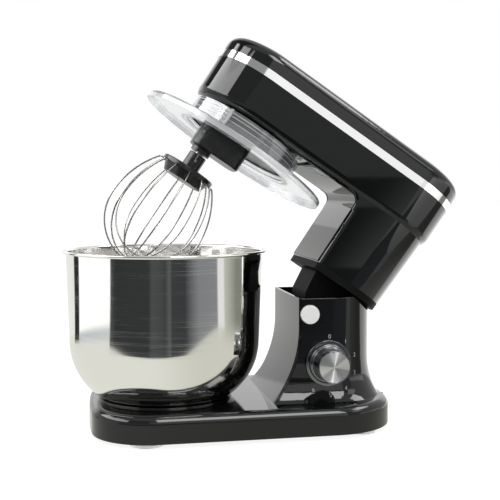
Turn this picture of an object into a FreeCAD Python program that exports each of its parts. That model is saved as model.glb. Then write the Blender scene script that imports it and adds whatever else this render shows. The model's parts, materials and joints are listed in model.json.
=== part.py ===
"""Tilt-head stand mixer with a planetary drive, drawn with its head raised.

X runs from the nose (negative) to the back, Y across the mixer, Z up from the table.
Lengths are in millimetres and angles in degrees. Head pieces are drawn with the head
closed and are then turned about the hinge pin to the raised pose.
"""

import FreeCAD
import Part
import math
import os

V = FreeCAD.Vector
X_DIR, Y_DIR, Z_DIR = V(1, 0, 0), V(0, 1, 0), V(0, 0, 1)

# Frame: distances named "behind" or "ahead" are measured from the bowl's axis
BOWL_AXIS_X = -108.0

# Clearances
FIT_GAP = 0.3
SEAT_GAP = 0.2
RUNNING_GAP = 0.05

# Base
FOOT_HEIGHT = 5.0
BASE_AHEAD = 82.0
BASE_BEHIND = 241.0
BASE_WIDTH = 200.0
BASE_REAR_INSET = 5.0
BASE_TOP_Z = 33.0
BASE_FRONT_CORNER = 62.0
BASE_REAR_CORNER = 72.0
BASE_BOW = 6.0
BOW_EASE = 0.9
BASE_EDGE_ROUND = 9.0
BODY_WALL = 3.0
BOTTOM_PLATE_THICK = 2.5
VENT_COUNT = 6
VENT_BEHIND = 124.0
VENT_PITCH = 7.0
VENT_WIDTH = 3.0
VENT_LENGTH = 40.0

# Column
COLUMN_FRONT_BEHIND = 132.5
COLUMN_REAR_BEHIND = 222.0
COLUMN_WIDTH = 122.0
COLUMN_TOP_Z = 141.0
COLUMN_FRONT_CORNER = 2.5
COLUMN_REAR_CORNER = 52.0
COLUMN_BOW = 1.5
FRONT_FLARE_RADIUS = 120.0
FRONT_FLARE_TOP_Z = 110.0
SIDE_FLARE_RADIUS = 30.0
SIDE_FLARE_TOP_Z = 55.0
REAR_FLARE_RADIUS = 110.0
REAR_FLARE_TOP_Z = 78.0

# Bowl and its seat
BOWL_RIM_RADIUS = 109.0
BOWL_WALL_RADIUS = 104.5
BOWL_RIM_Z = 190.5
BOWL_BOTTOM_Z = 23.0
BOWL_CORNER_RADIUS = 72.0
BOWL_TAPER = 5.4
BOWL_SHEET = 1.2
BOWL_LIP_THICK = 2.6
BOWL_LIP_ROUND = 1.15
SEAT_RADIUS = 68.5
SEAT_FLOOR_Z = 20.0
SEAT_LIP_WIDTH = 3.0
SEAT_LIP_HEIGHT = 1.5
LOCK_RING_HEIGHT = 6.0
LOCK_LEDGE_THICK = 2.6
LOCK_LEDGE_INNER_RADIUS = 54.0
LOCK_LEDGE_ANGLE = 32.0
FOOT_RING_OUTER_RADIUS = 50.0
FOOT_RING_INNER_RADIUS = 38.0
BOWL_LUG_RADIUS = 60.0
BOWL_LUG_THICK = 2.7
BOWL_LUG_ANGLE = 28.0
LOCK_COUNT = 3

# Suction feet
FOOT_RADIUS = 17.0
FOOT_LIP_WIDTH = 3.5
FOOT_NECK_RADIUS = 10.0
FOOT_STEM_RADIUS = 4.0
FOOT_CUP_DEPTH = 2.2
FOOT_RIM_THICK = 1.2
FOOT_SNAP_HEIGHT = 3.0
FRONT_FOOT_BACK = 56.0
FRONT_FOOT_INSET = 24.0
REAR_FOOT_FORWARD = 42.0
REAR_FOOT_INSET = 33.0

# Bottom screws
SCREW_RADIUS = 1.5
SCREW_HEAD_RADIUS = 3.2
SCREW_HEAD_HEIGHT = 1.8
SCREW_LENGTH = 14.0
POST_RADIUS = 4.5
SCREW_PLACES = ((12.0, 86.0), (112.0, 84.0), (178.0, 76.0))

# Hinge between column and head
HINGE_BEHIND = 192.5
HINGE_DROP = 14.8
HINGE_PIN_RADIUS = 5.0
HINGE_PIN_GRIP = 14.0
HINGE_BOSS_RADIUS = 11.0
HINGE_BUSH_WALL = 3.0
HINGE_BUSH_LENGTH = 14.0
HEAD_TILT = 34.0
HEAD_GAP = 0.5
TONGUE_WIDTH = 60.0
TONGUE_FRONT_BEHIND = 145.5
TONGUE_DEPTH = 49.0
TONGUE_BARREL_RADIUS = 21.0
TONGUE_LEAN = 4.0
TONGUE_TOE = 10.0
TONGUE_TOE_ROUND = 3.0
TONGUE_HEEL = 28.0
TONGUE_HEEL_ROUND = 6.0
TONGUE_BACK = 12.6
TONGUE_BACK_DROP = 14.7
TONGUE_BACK_ROUND = 4.0
BRACKET_WALL = 4.0
BRACKET_FLOOR = 3.0

# Head housing, with the head closed
HEAD_AHEAD = 70.0
HEAD_BEHIND = 235.5
HEAD_WIDTH = 124.0
HEAD_NOSE_CORNER = 57.0
HEAD_REAR_CORNER = 56.0
HEAD_BOW = 5.0
HEAD_UNDERSIDE_Z = 229.0
HEAD_DRAFT = 1.0
HEAD_EDGE_ROUND = 10.0
HEAD_WALL = 2.5
BAND_Z = 275.7
BAND_HEIGHT = 8.5
BAND_PROUD = 0.6
BAND_THICK = 3.0
COVER_HEIGHT = 30.0
COVER_CROWN_RADIUS = 150.0
COVER_EDGE_ROUND = 12.0
COVER_CAP_HALF = 10.0
NECK_FRONT_BEHIND = 130.5
NECK_REAR_BEHIND = 225.0
NECK_REAR_LEAN = 4.5
NECK_WIDTH = 117.0
NECK_FRONT_CORNER = 4.0
NECK_SKIRT = 7.5
NECK_THROAT_ROUND = 10.0
PANEL_THICK = 2.5
PANEL_RECESS = 3.0
PANEL_BEND = 10.0

# Planetary drive
DRIVE_MODULE = 1.5
RING_TEETH = 56
PLANET_TEETH = 17
GEAR_BACKLASH = 0.3
GEAR_PRESSURE_ANGLE = 20.0
GEAR_TIP = 0.95
GEAR_ROOT = 1.25
RING_GEAR_TIP = 0.9
RING_GEAR_HEIGHT = 10.0
COLLAR_OUTER_RADIUS = 61.0
COLLAR_WALL = 3.0
COLLAR_EDGE_ROUND = 1.2
COLLAR_BOTTOM_Z = 208.0
COLLAR_TOP_THICK = 3.0
COLLAR_SPIGOT_RADIUS = 48.0
COLLAR_LUG_REACH = 1.8
COLLAR_LUG_THICK = 3.0
COLLAR_LUG_Z = 211.0
CARRIER_PLATE_RADIUS = 56.0
CARRIER_PLATE_THICK = 4.0
CARRIER_PLATE_DROP = 3.0
CARRIER_BOTTOM_Z = 183.0
CARRIER_HALF_WIDTH = 20.0
CARRIER_FRONT_REACH = 15.0
CARRIER_REAR_REACH = 14.5
CARRIER_CORNER = 13.0
CARRIER_EDGE_ROUND = 2.0
OUTPUT_BOSS_RADIUS = 11.0
OUTPUT_BOSS_DROP = 5.0
MAIN_SHAFT_RADIUS = 5.0
OUTPUT_SHAFT_RADIUS = 4.5
OUTPUT_SHAFT_LOW_Z = 162.0
BUSH_WALL = 2.5
BUSH_LENGTH = 6.0

# Splash guard
GUARD_RADIUS = 109.0
GUARD_DISC_Z = 202.4
GUARD_THICK = 2.4
GUARD_RIM_ROUND = 1.9
GUARD_LIP_DROP = 4.0
GUARD_LIP_WIDTH = 3.0
GUARD_COLLAR_GAP = 2.2
GUARD_LUG_THICK = 2.6
GUARD_LUG_ANGLE = 26.0
GUARD_LUG_COUNT = 3
GUARD_STOP_THICK = 3.0
GUARD_RIB_TURN = 3.0

# Gear train and motor
SPUR_MODULE = 1.25
MAIN_GEAR_TEETH = 52
PINION_TEETH = 16
SPUR_WIDTH = 8.0
SPUR_CLEARANCE = 2.0
CASE_FLOOR_THICK = 4.5
CASE_INSET = 9.5
CASE_REAR_BEHIND = 90.0
CASE_ROOM = 14.0
CASE_BRIDGE_THICK = 4.0
CASE_BRIDGE_HALF = 42.0
CASE_POST_RADIUS = 4.0
CASE_POST_AHEAD = 32.0
CASE_POST_Y = 36.0
PULLEY_GAP = 5.0
PULLEY_WIDTH = 10.0
BIG_PULLEY_RADIUS = 36.0
MOTOR_PULLEY_RADIUS = 9.0
PULLEY_FLANGE = 1.5
BELT_THICK = 2.0
BELT_GAP = 0.1
LAYSHAFT_RADIUS = 4.0
MOTOR_BEHIND = 178.0
MOTOR_SHAFT_RADIUS = 4.0
MOTOR_CAN_RADIUS = 35.0
MOTOR_LEG_REACH = 26.25
MOTOR_LEG_COUNT = 3
MOTOR_CAN_WALL = 1.5
MOTOR_CAN_HEIGHT = 68.0
MOTOR_LEG_HEIGHT = 6.0
MOTOR_END_THICK = 5.0
STATOR_BORE_RADIUS = 18.6
STATOR_HEIGHT = 34.0
STATOR_RISE = 18.0
CAN_WINDOW_DROP = 12.6
ROTOR_RADIUS = 18.0
ROTOR_SLOTS = 12
ROTOR_SLOT_DEPTH = 6.3
FAN_RADIUS = 27.0
FAN_BLADES = 9
FAN_BLADE_INSET = 0.54
FAN_BLADE_ROOT = 0.8
COMMUTATOR_RADIUS = 9.0
COMMUTATOR_HEIGHT = 9.0
BRUSH_GAP = 0.2

# Whisk
WHISK_RADIUS = 54.0
WHISK_BULGE_Z = 93.0
WHISK_LEG_RADIUS = 96.0
WHISK_LOOPS = 6
WHISK_WIRE_RADIUS = 0.9
WHISK_LOOP_STEP = 1.1
WHISK_BEND_RADIUS = 3.0
HUB_FLANGE_RADIUS = 30.0
HUB_FLANGE_THICK = 5.0
HUB_TOP_Z = 158.0
HUB_STEM_RADIUS = 10.0
HUB_STEM_HEIGHT = 18.0
CAP_RADIUS = 27.0
CAP_BOTTOM_RADIUS = 22.5
CAP_HEIGHT = 10.0
WIRE_ROOT_RADIUS = 24.0
CROSS_PIN_RADIUS = 1.5
CROSS_PIN_RISE = 6.0

# Controls on the column's side
KNOB_BEHIND = 164.5
KNOB_Z = 73.0
KNOB_BEZEL_RADIUS = 24.0
KNOB_BEZEL_PROUD = 4.0
KNOB_BEZEL_WALL = 3.2
KNOB_BEZEL_DEPTH = 12.0
KNOB_SKIRT_THICK = 4.0
KNOB_RADIUS = 17.5
KNOB_TAPER = 0.7
KNOB_FACE_WALL = 0.9
KNOB_FACE_THICK = 1.2
KNOB_PROUD = 27.0
KNOB_SHAFT_RADIUS = 3.0
SWITCH_SIZE = 28.0
SWITCH_DEPTH = 17.0
SWITCH_BUSH_RADIUS = 6.0
BUTTON_BEHIND = 145.0
BUTTON_Z = 124.5
BUTTON_RADIUS = 9.8
BUTTON_PROUD = 4.0
BUTTON_TRAVEL = 3.5
BUTTON_FLANGE = 1.6
PLUNGER_RADIUS = 3.5
GUIDE_THICK = 3.0
SPRING_WIRE_RADIUS = 0.5
SPRING_PITCH = 1.4
SPRING_TURNS = 3.5
SPRING_RUNS = 16

# Control board on the bottom plate
BOARD_LENGTH = 66.0
BOARD_WIDTH = 48.0
BOARD_THICK = 1.6
BOARD_BEHIND = 168.0
BOARD_RISE = 8.0
BOARD_POST_RADIUS = 3.0
CHOKE_HEIGHT = 12.0

# Mains inlet at the back of the base
GLAND_Z = 18.0
GLAND_BORE = 3.6
GLAND_WALL = 2.4
GLAND_FLANGE = 2.2
GLAND_PROUD = 4.0


def behind(distance):
    """X of a place that far behind the bowl's axis."""
    return BOWL_AXIS_X + distance


# Places that follow from the sizes above
HINGE_X = behind(HINGE_BEHIND)
HINGE_Z = COLUMN_TOP_Z - HINGE_DROP
PLANET_OFFSET = (RING_TEETH - PLANET_TEETH) * DRIVE_MODULE / 2
PLANET_X = behind(-PLANET_OFFSET)
LAYSHAFT_X = behind((MAIN_GEAR_TEETH + PINION_TEETH) * SPUR_MODULE / 2)
MOTOR_X = behind(MOTOR_BEHIND)
KNOB_X = behind(KNOB_BEHIND)
BUTTON_X = behind(BUTTON_BEHIND)
SIDE_Y = -COLUMN_WIDTH / 2
PLATE_TOP_Z = FOOT_HEIGHT + BOTTOM_PLATE_THICK
BOWL_LIP_Z = BOWL_RIM_Z - BOWL_LIP_THICK
NECK_BOTTOM_Z = COLUMN_TOP_Z + HEAD_GAP
SHELL_BOTTOM_Z = NECK_BOTTOM_Z + NECK_SKIRT
PANEL_Z = HEAD_UNDERSIDE_Z + PANEL_RECESS
CASE_Z = PANEL_Z + PANEL_THICK
CASE_FLOOR_TOP_Z = CASE_Z + CASE_FLOOR_THICK
BRIDGE_Z = CASE_FLOOR_TOP_Z + CASE_ROOM
BRIDGE_TOP_Z = BRIDGE_Z + CASE_BRIDGE_THICK
PULLEY_Z = BRIDGE_TOP_Z + PULLEY_GAP
COVER_Z = BAND_Z + BAND_HEIGHT
COLLAR_INNER_RADIUS = COLLAR_OUTER_RADIUS - COLLAR_WALL
COLLAR_CEILING_Z = HEAD_UNDERSIDE_Z - COLLAR_TOP_THICK
RING_GEAR_Z = COLLAR_CEILING_Z - RING_GEAR_HEIGHT
CARRIER_TOP_Z = RING_GEAR_Z - CARRIER_PLATE_DROP
BLOCK_TOP_Z = CARRIER_TOP_Z - CARRIER_PLATE_THICK
MOTOR_FOOT_Z = SHELL_BOTTOM_Z + NECK_SKIRT
CAN_Z = MOTOR_FOOT_Z + MOTOR_LEG_HEIGHT + MOTOR_END_THICK
CAN_TOP_Z = CAN_Z + MOTOR_CAN_HEIGHT
HUB_BOTTOM_Z = HUB_TOP_Z - HUB_FLANGE_THICK
HUB_STEM_TOP_Z = HUB_TOP_Z + HUB_STEM_HEIGHT
CROSS_PIN_Z = OUTPUT_SHAFT_LOW_Z + CROSS_PIN_RISE
SHAFT_BORE = MAIN_SHAFT_RADIUS + BUSH_WALL


def plan(z):
    """Maps outline coordinates to a level plane."""
    return lambda a, b: V(a, b, z)


def side(y):
    """Maps outline coordinates to an upright plane along the mixer."""
    return lambda a, b: V(a, y, b)


def rounded_wire(corners, place):
    """Closed wire of straight runs joined by tangent arcs; a corner is (a, b, radius)."""
    rounds = []
    for i, (a, b, radius) in enumerate(corners):
        here = V(a, b, 0)
        following = corners[(i + 1) % len(corners)]
        back = (V(*corners[i - 1][:2], 0) - here).normalize()
        on = (V(*following[:2], 0) - here).normalize()
        half = back.getAngle(on) / 2
        reach = radius / math.tan(half)
        middle = here + (back + on).normalize() * (radius / math.sin(half) - radius)
        rounds.append((here + back * reach, middle, here + on * reach, radius))
    edges = []
    for i, (start, middle, end, radius) in enumerate(rounds):
        if radius > 0:
            arc = Part.Arc(*(place(p.x, p.y) for p in (start, middle, end)))
            edges.append(arc.toShape())
        next_start = rounds[(i + 1) % len(rounds)][0]
        if (next_start - end).Length > 1e-6:
            edges.append(Part.makeLine(place(end.x, end.y), place(next_start.x, next_start.y)))
    return Part.Wire(edges)


def prism(wire, along):
    """Solid of a closed flat wire pushed along a vector."""
    return Part.Face(wire).extrude(along)


def turned(corners, x=BOWL_AXIS_X, y=0.0, angle=360.0):
    """Solid turned about an upright axis from a profile of (radius, height, round)."""
    solid = Part.Face(rounded_wire(corners, side(0))).revolve(V(0, 0, 0), Z_DIR, angle)
    solid.translate(V(x, y, 0))
    return solid


def drum(radius, low, high, x=BOWL_AXIS_X, y=0.0):
    """Upright cylinder between two heights."""
    return Part.makeCylinder(radius, high - low, V(x, y, low), Z_DIR)


def tube(outer, inner, low, high, x=BOWL_AXIS_X, y=0.0):
    """Upright ring between two heights."""
    return drum(outer, low, high, x, y).cut(drum(inner, low, high, x, y))


def rod_across(radius, start, end, x, z):
    """Cylinder along Y between two places."""
    return Part.makeCylinder(radius, end - start, V(x, start, z), Y_DIR)


def block(x_low, x_high, y_low, y_high, z_low, z_high):
    """Plain block between its corners."""
    return Part.makeBox(x_high - x_low, y_high - y_low, z_high - z_low, V(x_low, y_low, z_low))


def ring_sector(outer, inner, low, high, angle):
    """Part of a ring about the bowl's axis, centred on the X direction."""
    corners = [(inner, low, 0), (outer, low, 0), (outer, high, 0), (inner, high, 0)]
    solid = turned(corners, 0, 0, angle)
    solid.rotate(V(0, 0, 0), Z_DIR, -angle / 2)
    solid.translate(V(BOWL_AXIS_X, 0, 0))
    return solid


def around(solid, count, x=BOWL_AXIS_X, start=0.0):
    """Copies of a solid, evenly turned about an upright axis."""
    copies = []
    for i in range(count):
        copy = solid.copy()
        copy.rotate(V(x, 0, 0), Z_DIR, start + 360.0 * i / count)
        copies.append(copy)
    return copies


def fused(first, *rest):
    """One clean solid from several that touch."""
    return first.fuse(list(rest)).removeSplitter()


def level_edges(solid, z):
    """Edges of a solid that lie wholly at a height."""
    return [e for e in solid.Edges if max(abs(e.BoundBox.ZMin - z), abs(e.BoundBox.ZMax - z)) < 1e-4]


def raised(shape, share=1.0):
    """A head piece turned about the hinge pin from closed to raised, or a share of the way."""
    copy = shape.copy()
    copy.rotate(V(HINGE_X, 0, HINGE_Z), Y_DIR, HEAD_TILT * share)
    return copy


def bowed_outline(front, rear, half_front, half_rear, front_corner, rear_corner, bow, z):
    """Plan outline with round corners and slightly bowed ends."""

    def bow_radius(half, corner):
        lean = math.atan(bow / half)
        run = half / math.cos(lean) - corner / math.tan(math.pi / 4 + lean / 2)
        return BOW_EASE * run / math.tan(lean)

    corners = [
        (front, 0, bow_radius(half_front, front_corner)),
        (front + bow, -half_front, front_corner),
        (rear - bow, -half_rear, rear_corner),
        (rear, 0, bow_radius(half_rear, rear_corner)),
        (rear - bow, half_rear, rear_corner),
        (front + bow, half_front, front_corner),
    ]
    return rounded_wire(corners, plan(z))


def base_outline(z, inset=0.0):
    """Plan of the base, drawn in by an inset."""
    return bowed_outline(
        behind(-BASE_AHEAD) + inset,
        behind(BASE_BEHIND) - inset,
        BASE_WIDTH / 2 - inset,
        BASE_WIDTH / 2 - BASE_REAR_INSET - inset,
        BASE_FRONT_CORNER - inset,
        BASE_REAR_CORNER - inset,
        BASE_BOW,
        z,
    )


def flare(z, radius, top_z):
    """How far an arc that leaves the upright at top_z has swept outwards at a height."""
    drop = max(0.0, top_z - z)
    return radius - math.sqrt(radius**2 - drop**2)


def column_outline(z, inset=0.0):
    """Plan of the column at a height: flat front, round back, flared towards its foot."""
    half = COLUMN_WIDTH / 2 + flare(z, SIDE_FLARE_RADIUS, SIDE_FLARE_TOP_Z) - inset
    return bowed_outline(
        behind(COLUMN_FRONT_BEHIND) - flare(z, FRONT_FLARE_RADIUS, FRONT_FLARE_TOP_Z) + inset,
        behind(COLUMN_REAR_BEHIND) + flare(z, REAR_FLARE_RADIUS, REAR_FLARE_TOP_Z) - inset,
        half,
        half,
        COLUMN_FRONT_CORNER,
        COLUMN_REAR_CORNER - inset,
        COLUMN_BOW,
        z,
    )


def column_solid(inset=0.0):
    """Column from inside the base to its top: a smooth flare with a straight prism on it."""
    steps = 6
    low = BASE_TOP_Z - 2 * BODY_WALL
    heights = [low + (FRONT_FLARE_TOP_Z - low) * i / steps for i in range(steps + 1)]
    flared = Part.makeLoft([column_outline(z, inset) for z in heights], True, False)
    top = column_outline(FRONT_FLARE_TOP_Z, inset)
    return flared.fuse(prism(top, Z_DIR * (COLUMN_TOP_Z - FRONT_FLARE_TOP_Z)))


def hinge_clearance():
    """Space over the column that the bottom of the tilting head passes through."""
    reach = COLUMN_WIDTH
    slab = block(HINGE_X - reach, HINGE_X + reach, -reach, reach, COLUMN_TOP_Z, COLUMN_TOP_Z + reach)
    return slab.fuse([raised(slab, 0.5), raised(slab)])


def boss_spans():
    """Where the hinge bosses stand on either side of the head's tongue."""
    inner = TONGUE_WIDTH / 2 + FIT_GAP
    return ((SIDE_Y, -inner), (inner, -SIDE_Y))


def screw_places():
    """Plan places of the bottom plate's screws."""
    return [(behind(s), y * way) for s, y in SCREW_PLACES for way in (-1, 1)]


def foot_places():
    """Plan places of the suction feet, by name."""
    front_x = behind(FRONT_FOOT_BACK - BASE_AHEAD)
    front_y = BASE_WIDTH / 2 - FRONT_FOOT_INSET
    rear_x = behind(BASE_BEHIND - REAR_FOOT_FORWARD)
    rear_y = BASE_WIDTH / 2 - BASE_REAR_INSET - REAR_FOOT_INSET
    return {
        "foot_front_right": (front_x, -front_y),
        "foot_front_left": (front_x, front_y),
        "foot_rear_right": (rear_x, -rear_y),
        "foot_rear_left": (rear_x, rear_y),
    }


def base_openings():
    """Tools that cut the base's holes: hinge pin, knob, button, mains inlet and screws."""
    wall = (SIDE_Y - BODY_WALL, SIDE_Y + 3 * BODY_WALL)
    pin_half = hinge_pin_half()
    rear = behind(BASE_BEHIND)
    tools = [
        rod_across(HINGE_PIN_RADIUS, -pin_half, pin_half, HINGE_X, HINGE_Z),
        rod_across(SWITCH_BUSH_RADIUS, *wall, KNOB_X, KNOB_Z),
        rod_across(BUTTON_RADIUS + FIT_GAP, *wall, BUTTON_X, BUTTON_Z),
        Part.makeCylinder(GLAND_BORE + GLAND_WALL, 4 * BODY_WALL, V(rear - 3 * BODY_WALL, 0, GLAND_Z), X_DIR),
    ]
    tools += [drum(SCREW_RADIUS, PLATE_TOP_Z, FOOT_HEIGHT + SCREW_LENGTH, x, y) for x, y in screw_places()]
    return tools


def base_housing():
    """Moulded base and column in one shell, open below and at the column's top."""
    ceiling = BASE_TOP_Z - BODY_WALL
    slab = prism(base_outline(FOOT_HEIGHT), Z_DIR * (BASE_TOP_Z - FOOT_HEIGHT))
    slab = slab.makeFillet(BASE_EDGE_ROUND, level_edges(slab, BASE_TOP_Z))
    hollow = prism(base_outline(FOOT_HEIGHT, BODY_WALL), Z_DIR * (ceiling - FOOT_HEIGHT))
    hollow = hollow.fuse(column_solid(BODY_WALL))
    shell = slab.fuse(column_solid()).cut(hollow)
    well = drum(SEAT_RADIUS + SEAT_LIP_WIDTH, SEAT_FLOOR_Z - BODY_WALL, BASE_TOP_Z + SEAT_LIP_HEIGHT)
    core = column_solid(BODY_WALL / 2)
    bosses = [rod_across(HINGE_BOSS_RADIUS, *span, HINGE_X, HINGE_Z).common(core) for span in boss_spans()]
    posts = [drum(POST_RADIUS, PLATE_TOP_Z, ceiling + BODY_WALL / 2, x, y) for x, y in screw_places()]
    seat = drum(SEAT_RADIUS, SEAT_FLOOR_Z, BASE_TOP_Z + 2 * SEAT_LIP_HEIGHT)
    shell = shell.fuse([well, *bosses, *posts])
    return shell.cut([seat, hinge_clearance(), *base_openings()]).removeSplitter()


def bottom_plate():
    """Flat cover that closes the base, with counterbored screw holes, foot holes and vents."""
    plate = prism(base_outline(FOOT_HEIGHT, BODY_WALL + FIT_GAP), Z_DIR * BOTTOM_PLATE_THICK)
    cuts = [drum(FOOT_STEM_RADIUS, FOOT_HEIGHT, PLATE_TOP_Z, x, y) for x, y in foot_places().values()]
    for x, y in screw_places():
        cuts.append(drum(SCREW_RADIUS + FIT_GAP, FOOT_HEIGHT, PLATE_TOP_Z, x, y))
        cuts.append(drum(SCREW_HEAD_RADIUS + FIT_GAP, FOOT_HEIGHT, FOOT_HEIGHT + SCREW_HEAD_HEIGHT, x, y))
    for i in range(VENT_COUNT):
        x = behind(VENT_BEHIND) + VENT_PITCH * i
        cuts.append(block(x, x + VENT_WIDTH, -VENT_LENGTH / 2, VENT_LENGTH / 2, FOOT_HEIGHT, PLATE_TOP_Z))
    return plate.cut(cuts)


def bottom_screws():
    """Screws that hold the bottom plate to the base's posts."""
    screws = []
    for x, y in screw_places():
        head = drum(SCREW_HEAD_RADIUS, FOOT_HEIGHT, FOOT_HEIGHT + SCREW_HEAD_HEIGHT, x, y)
        shank = drum(SCREW_RADIUS, FOOT_HEIGHT, FOOT_HEIGHT + SCREW_LENGTH, x, y)
        screws.append(fused(head, shank))
    return Part.makeCompound(screws)


def suction_foot(x, y):
    """Soft cup with a flat lip, a hollow underside and a stem that snaps through the plate."""
    tip = PLATE_TOP_Z + FOOT_SNAP_HEIGHT
    corners = [
        (0, FOOT_CUP_DEPTH, 0),
        (FOOT_NECK_RADIUS, FOOT_CUP_DEPTH, FOOT_LIP_WIDTH),
        (FOOT_RADIUS - FOOT_LIP_WIDTH, 0, 0),
        (FOOT_RADIUS, 0, 0),
        (FOOT_RADIUS, FOOT_RIM_THICK, 0),
        (FOOT_NECK_RADIUS, FOOT_CUP_DEPTH + FOOT_RIM_THICK, 0),
        (FOOT_NECK_RADIUS, FOOT_HEIGHT, 0),
        (FOOT_STEM_RADIUS, FOOT_HEIGHT, 0),
        (FOOT_STEM_RADIUS, PLATE_TOP_Z, 0),
        (FOOT_STEM_RADIUS + FOOT_RIM_THICK, PLATE_TOP_Z, 0),
        (FOOT_STEM_RADIUS - FOOT_RIM_THICK / 2, tip, 0),
        (0, tip, 0),
    ]
    return turned(corners, x, y)


def bowl_profile(sheet):
    """Centre and lower corner of the bowl's section, in by a sheet from its outer face."""
    return [
        (0, BOWL_BOTTOM_Z + sheet, 0),
        (BOWL_WALL_RADIUS - BOWL_TAPER - sheet, BOWL_BOTTOM_Z + sheet, BOWL_CORNER_RADIUS - sheet),
    ]


def bowl():
    """Spun steel bowl with a rolled lip."""
    lip = [
        (BOWL_WALL_RADIUS, BOWL_LIP_Z, 0),
        (BOWL_RIM_RADIUS, BOWL_LIP_Z, BOWL_LIP_ROUND),
        (BOWL_RIM_RADIUS, BOWL_RIM_Z, BOWL_LIP_ROUND),
        (BOWL_WALL_RADIUS - BOWL_SHEET, BOWL_RIM_Z, 0),
    ]
    return turned(bowl_profile(0) + lip + bowl_profile(BOWL_SHEET)[::-1])


def bowl_foot():
    """Ring under the bowl with lugs that turn under the seat's ledges."""
    low = SEAT_FLOOR_Z + FIT_GAP
    ring = tube(FOOT_RING_OUTER_RADIUS, FOOT_RING_INNER_RADIUS, low, BOWL_BOTTOM_Z + LOCK_RING_HEIGHT)
    filled = turned(bowl_profile(0) + [(BOWL_WALL_RADIUS, BOWL_LIP_Z, 0), (0, BOWL_LIP_Z, 0)])
    root = (FOOT_RING_OUTER_RADIUS + FOOT_RING_INNER_RADIUS) / 2
    lug = ring_sector(BOWL_LUG_RADIUS, root, low, low + BOWL_LUG_THICK, BOWL_LUG_ANGLE)
    return fused(ring.cut(filled), *around(lug, LOCK_COUNT))


def bowl_lock_ring():
    """Seat insert with ledges that hold the bowl's lugs down."""
    top = SEAT_FLOOR_Z + LOCK_RING_HEIGHT
    ring = tube(SEAT_RADIUS - FIT_GAP, BOWL_LUG_RADIUS + 2 * FIT_GAP, SEAT_FLOOR_Z, top)
    root = (SEAT_RADIUS + BOWL_LUG_RADIUS) / 2
    ledge = ring_sector(root, LOCK_LEDGE_INNER_RADIUS, top - LOCK_LEDGE_THICK, top, LOCK_LEDGE_ANGLE)
    return fused(ring, *around(ledge, LOCK_COUNT))


def arm_outline(z, inset=0.0):
    """Plan of the head's arm, drawn in by an inset."""
    half = HEAD_WIDTH / 2 - inset
    return bowed_outline(
        behind(-HEAD_AHEAD) + inset,
        behind(HEAD_BEHIND) - inset,
        half,
        half,
        HEAD_NOSE_CORNER - inset,
        HEAD_REAR_CORNER - inset,
        HEAD_BOW * half / (HEAD_WIDTH / 2),
        z,
    )


def arm_solid(inset=0.0):
    """The head's arm up to the band, drafted towards its underside."""
    low = arm_outline(HEAD_UNDERSIDE_Z, inset + HEAD_DRAFT)
    return Part.makeLoft([low, arm_outline(BAND_Z, inset)], True, True)


def neck_outline(z, inset=0.0):
    """Plan of the neck at a height: its back leans out towards the arm."""
    lean = NECK_REAR_LEAN * (z - NECK_BOTTOM_Z) / (HEAD_UNDERSIDE_Z - NECK_BOTTOM_Z)
    return bowed_outline(
        behind(NECK_FRONT_BEHIND) + inset,
        behind(NECK_REAR_BEHIND) + lean - inset,
        NECK_WIDTH / 2 - inset,
        NECK_WIDTH / 2 - inset,
        NECK_FRONT_CORNER,
        COLUMN_REAR_CORNER - inset,
        COLUMN_BOW,
        z,
    )


def neck_solid(low, high, inset=0.0):
    """Stretch of the neck between two heights."""
    return Part.makeLoft([neck_outline(low, inset), neck_outline(high, inset)], True, True)


def throat_corner():
    """Wall that rounds the inner corner between the arm's underside and the neck's front, on both sides."""
    front = behind(NECK_FRONT_BEHIND)
    reach = NECK_THROAT_ROUND + NECK_FRONT_CORNER
    top = HEAD_UNDERSIDE_Z + HEAD_EDGE_ROUND
    half = NECK_WIDTH / 2
    corners = [
        (front - reach, top, 0),
        (front - reach, HEAD_UNDERSIDE_Z, 0),
        (front, HEAD_UNDERSIDE_Z, NECK_THROAT_ROUND),
        (front, HEAD_UNDERSIDE_Z - reach, 0),
        (front + reach, HEAD_UNDERSIDE_Z - reach, 0),
        (front + reach, top, 0),
    ]
    wall = prism(rounded_wire(corners, side(-half)), Y_DIR * NECK_WIDTH)
    rims = []
    for edge in wall.Edges:
        box = edge.BoundBox
        outer = box.YLength < 1e-6 and abs(abs(box.YMin) - half) < 1e-6
        if outer and box.XMax < front + 1e-6 and box.ZMax < HEAD_UNDERSIDE_Z + 1e-6:
            rims.append(edge)
    wall = wall.makeFillet(NECK_FRONT_CORNER, rims)
    gap = half - HEAD_WALL
    return wall.cut(block(front - reach, front + reach, -gap, gap, HEAD_UNDERSIDE_Z - reach, top))


def head_shell():
    """Side walls, nose and back of the head, open above, below and at the neck's front."""
    arm = arm_solid()
    arm = arm.makeFillet(HEAD_EDGE_ROUND, level_edges(arm, HEAD_UNDERSIDE_Z))
    into_arm = HEAD_UNDERSIDE_Z + HEAD_EDGE_ROUND
    room = arm_solid(HEAD_EDGE_ROUND - HEAD_WALL)
    shoulder = arm_solid(HEAD_WALL).cut(block_below(into_arm))
    throat = neck_solid(SHELL_BOTTOM_Z, into_arm, HEAD_WALL)
    front = behind(NECK_FRONT_BEHIND)
    half = NECK_WIDTH / 2 - HEAD_WALL
    mouth = block(front - HEAD_WALL, HINGE_X - NECK_WIDTH / 4, -half, half, SHELL_BOTTOM_Z, into_arm)
    shell = arm.fuse([neck_solid(SHELL_BOTTOM_Z, into_arm), throat_corner()])
    return shell.cut([room, shoulder, throat, mouth]).removeSplitter()


def block_below(z):
    """Space under a height, wider than the head."""
    reach = HEAD_AHEAD + HEAD_BEHIND
    return block(BOWL_AXIS_X - reach, BOWL_AXIS_X + reach, -reach, reach, 0, z)


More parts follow.
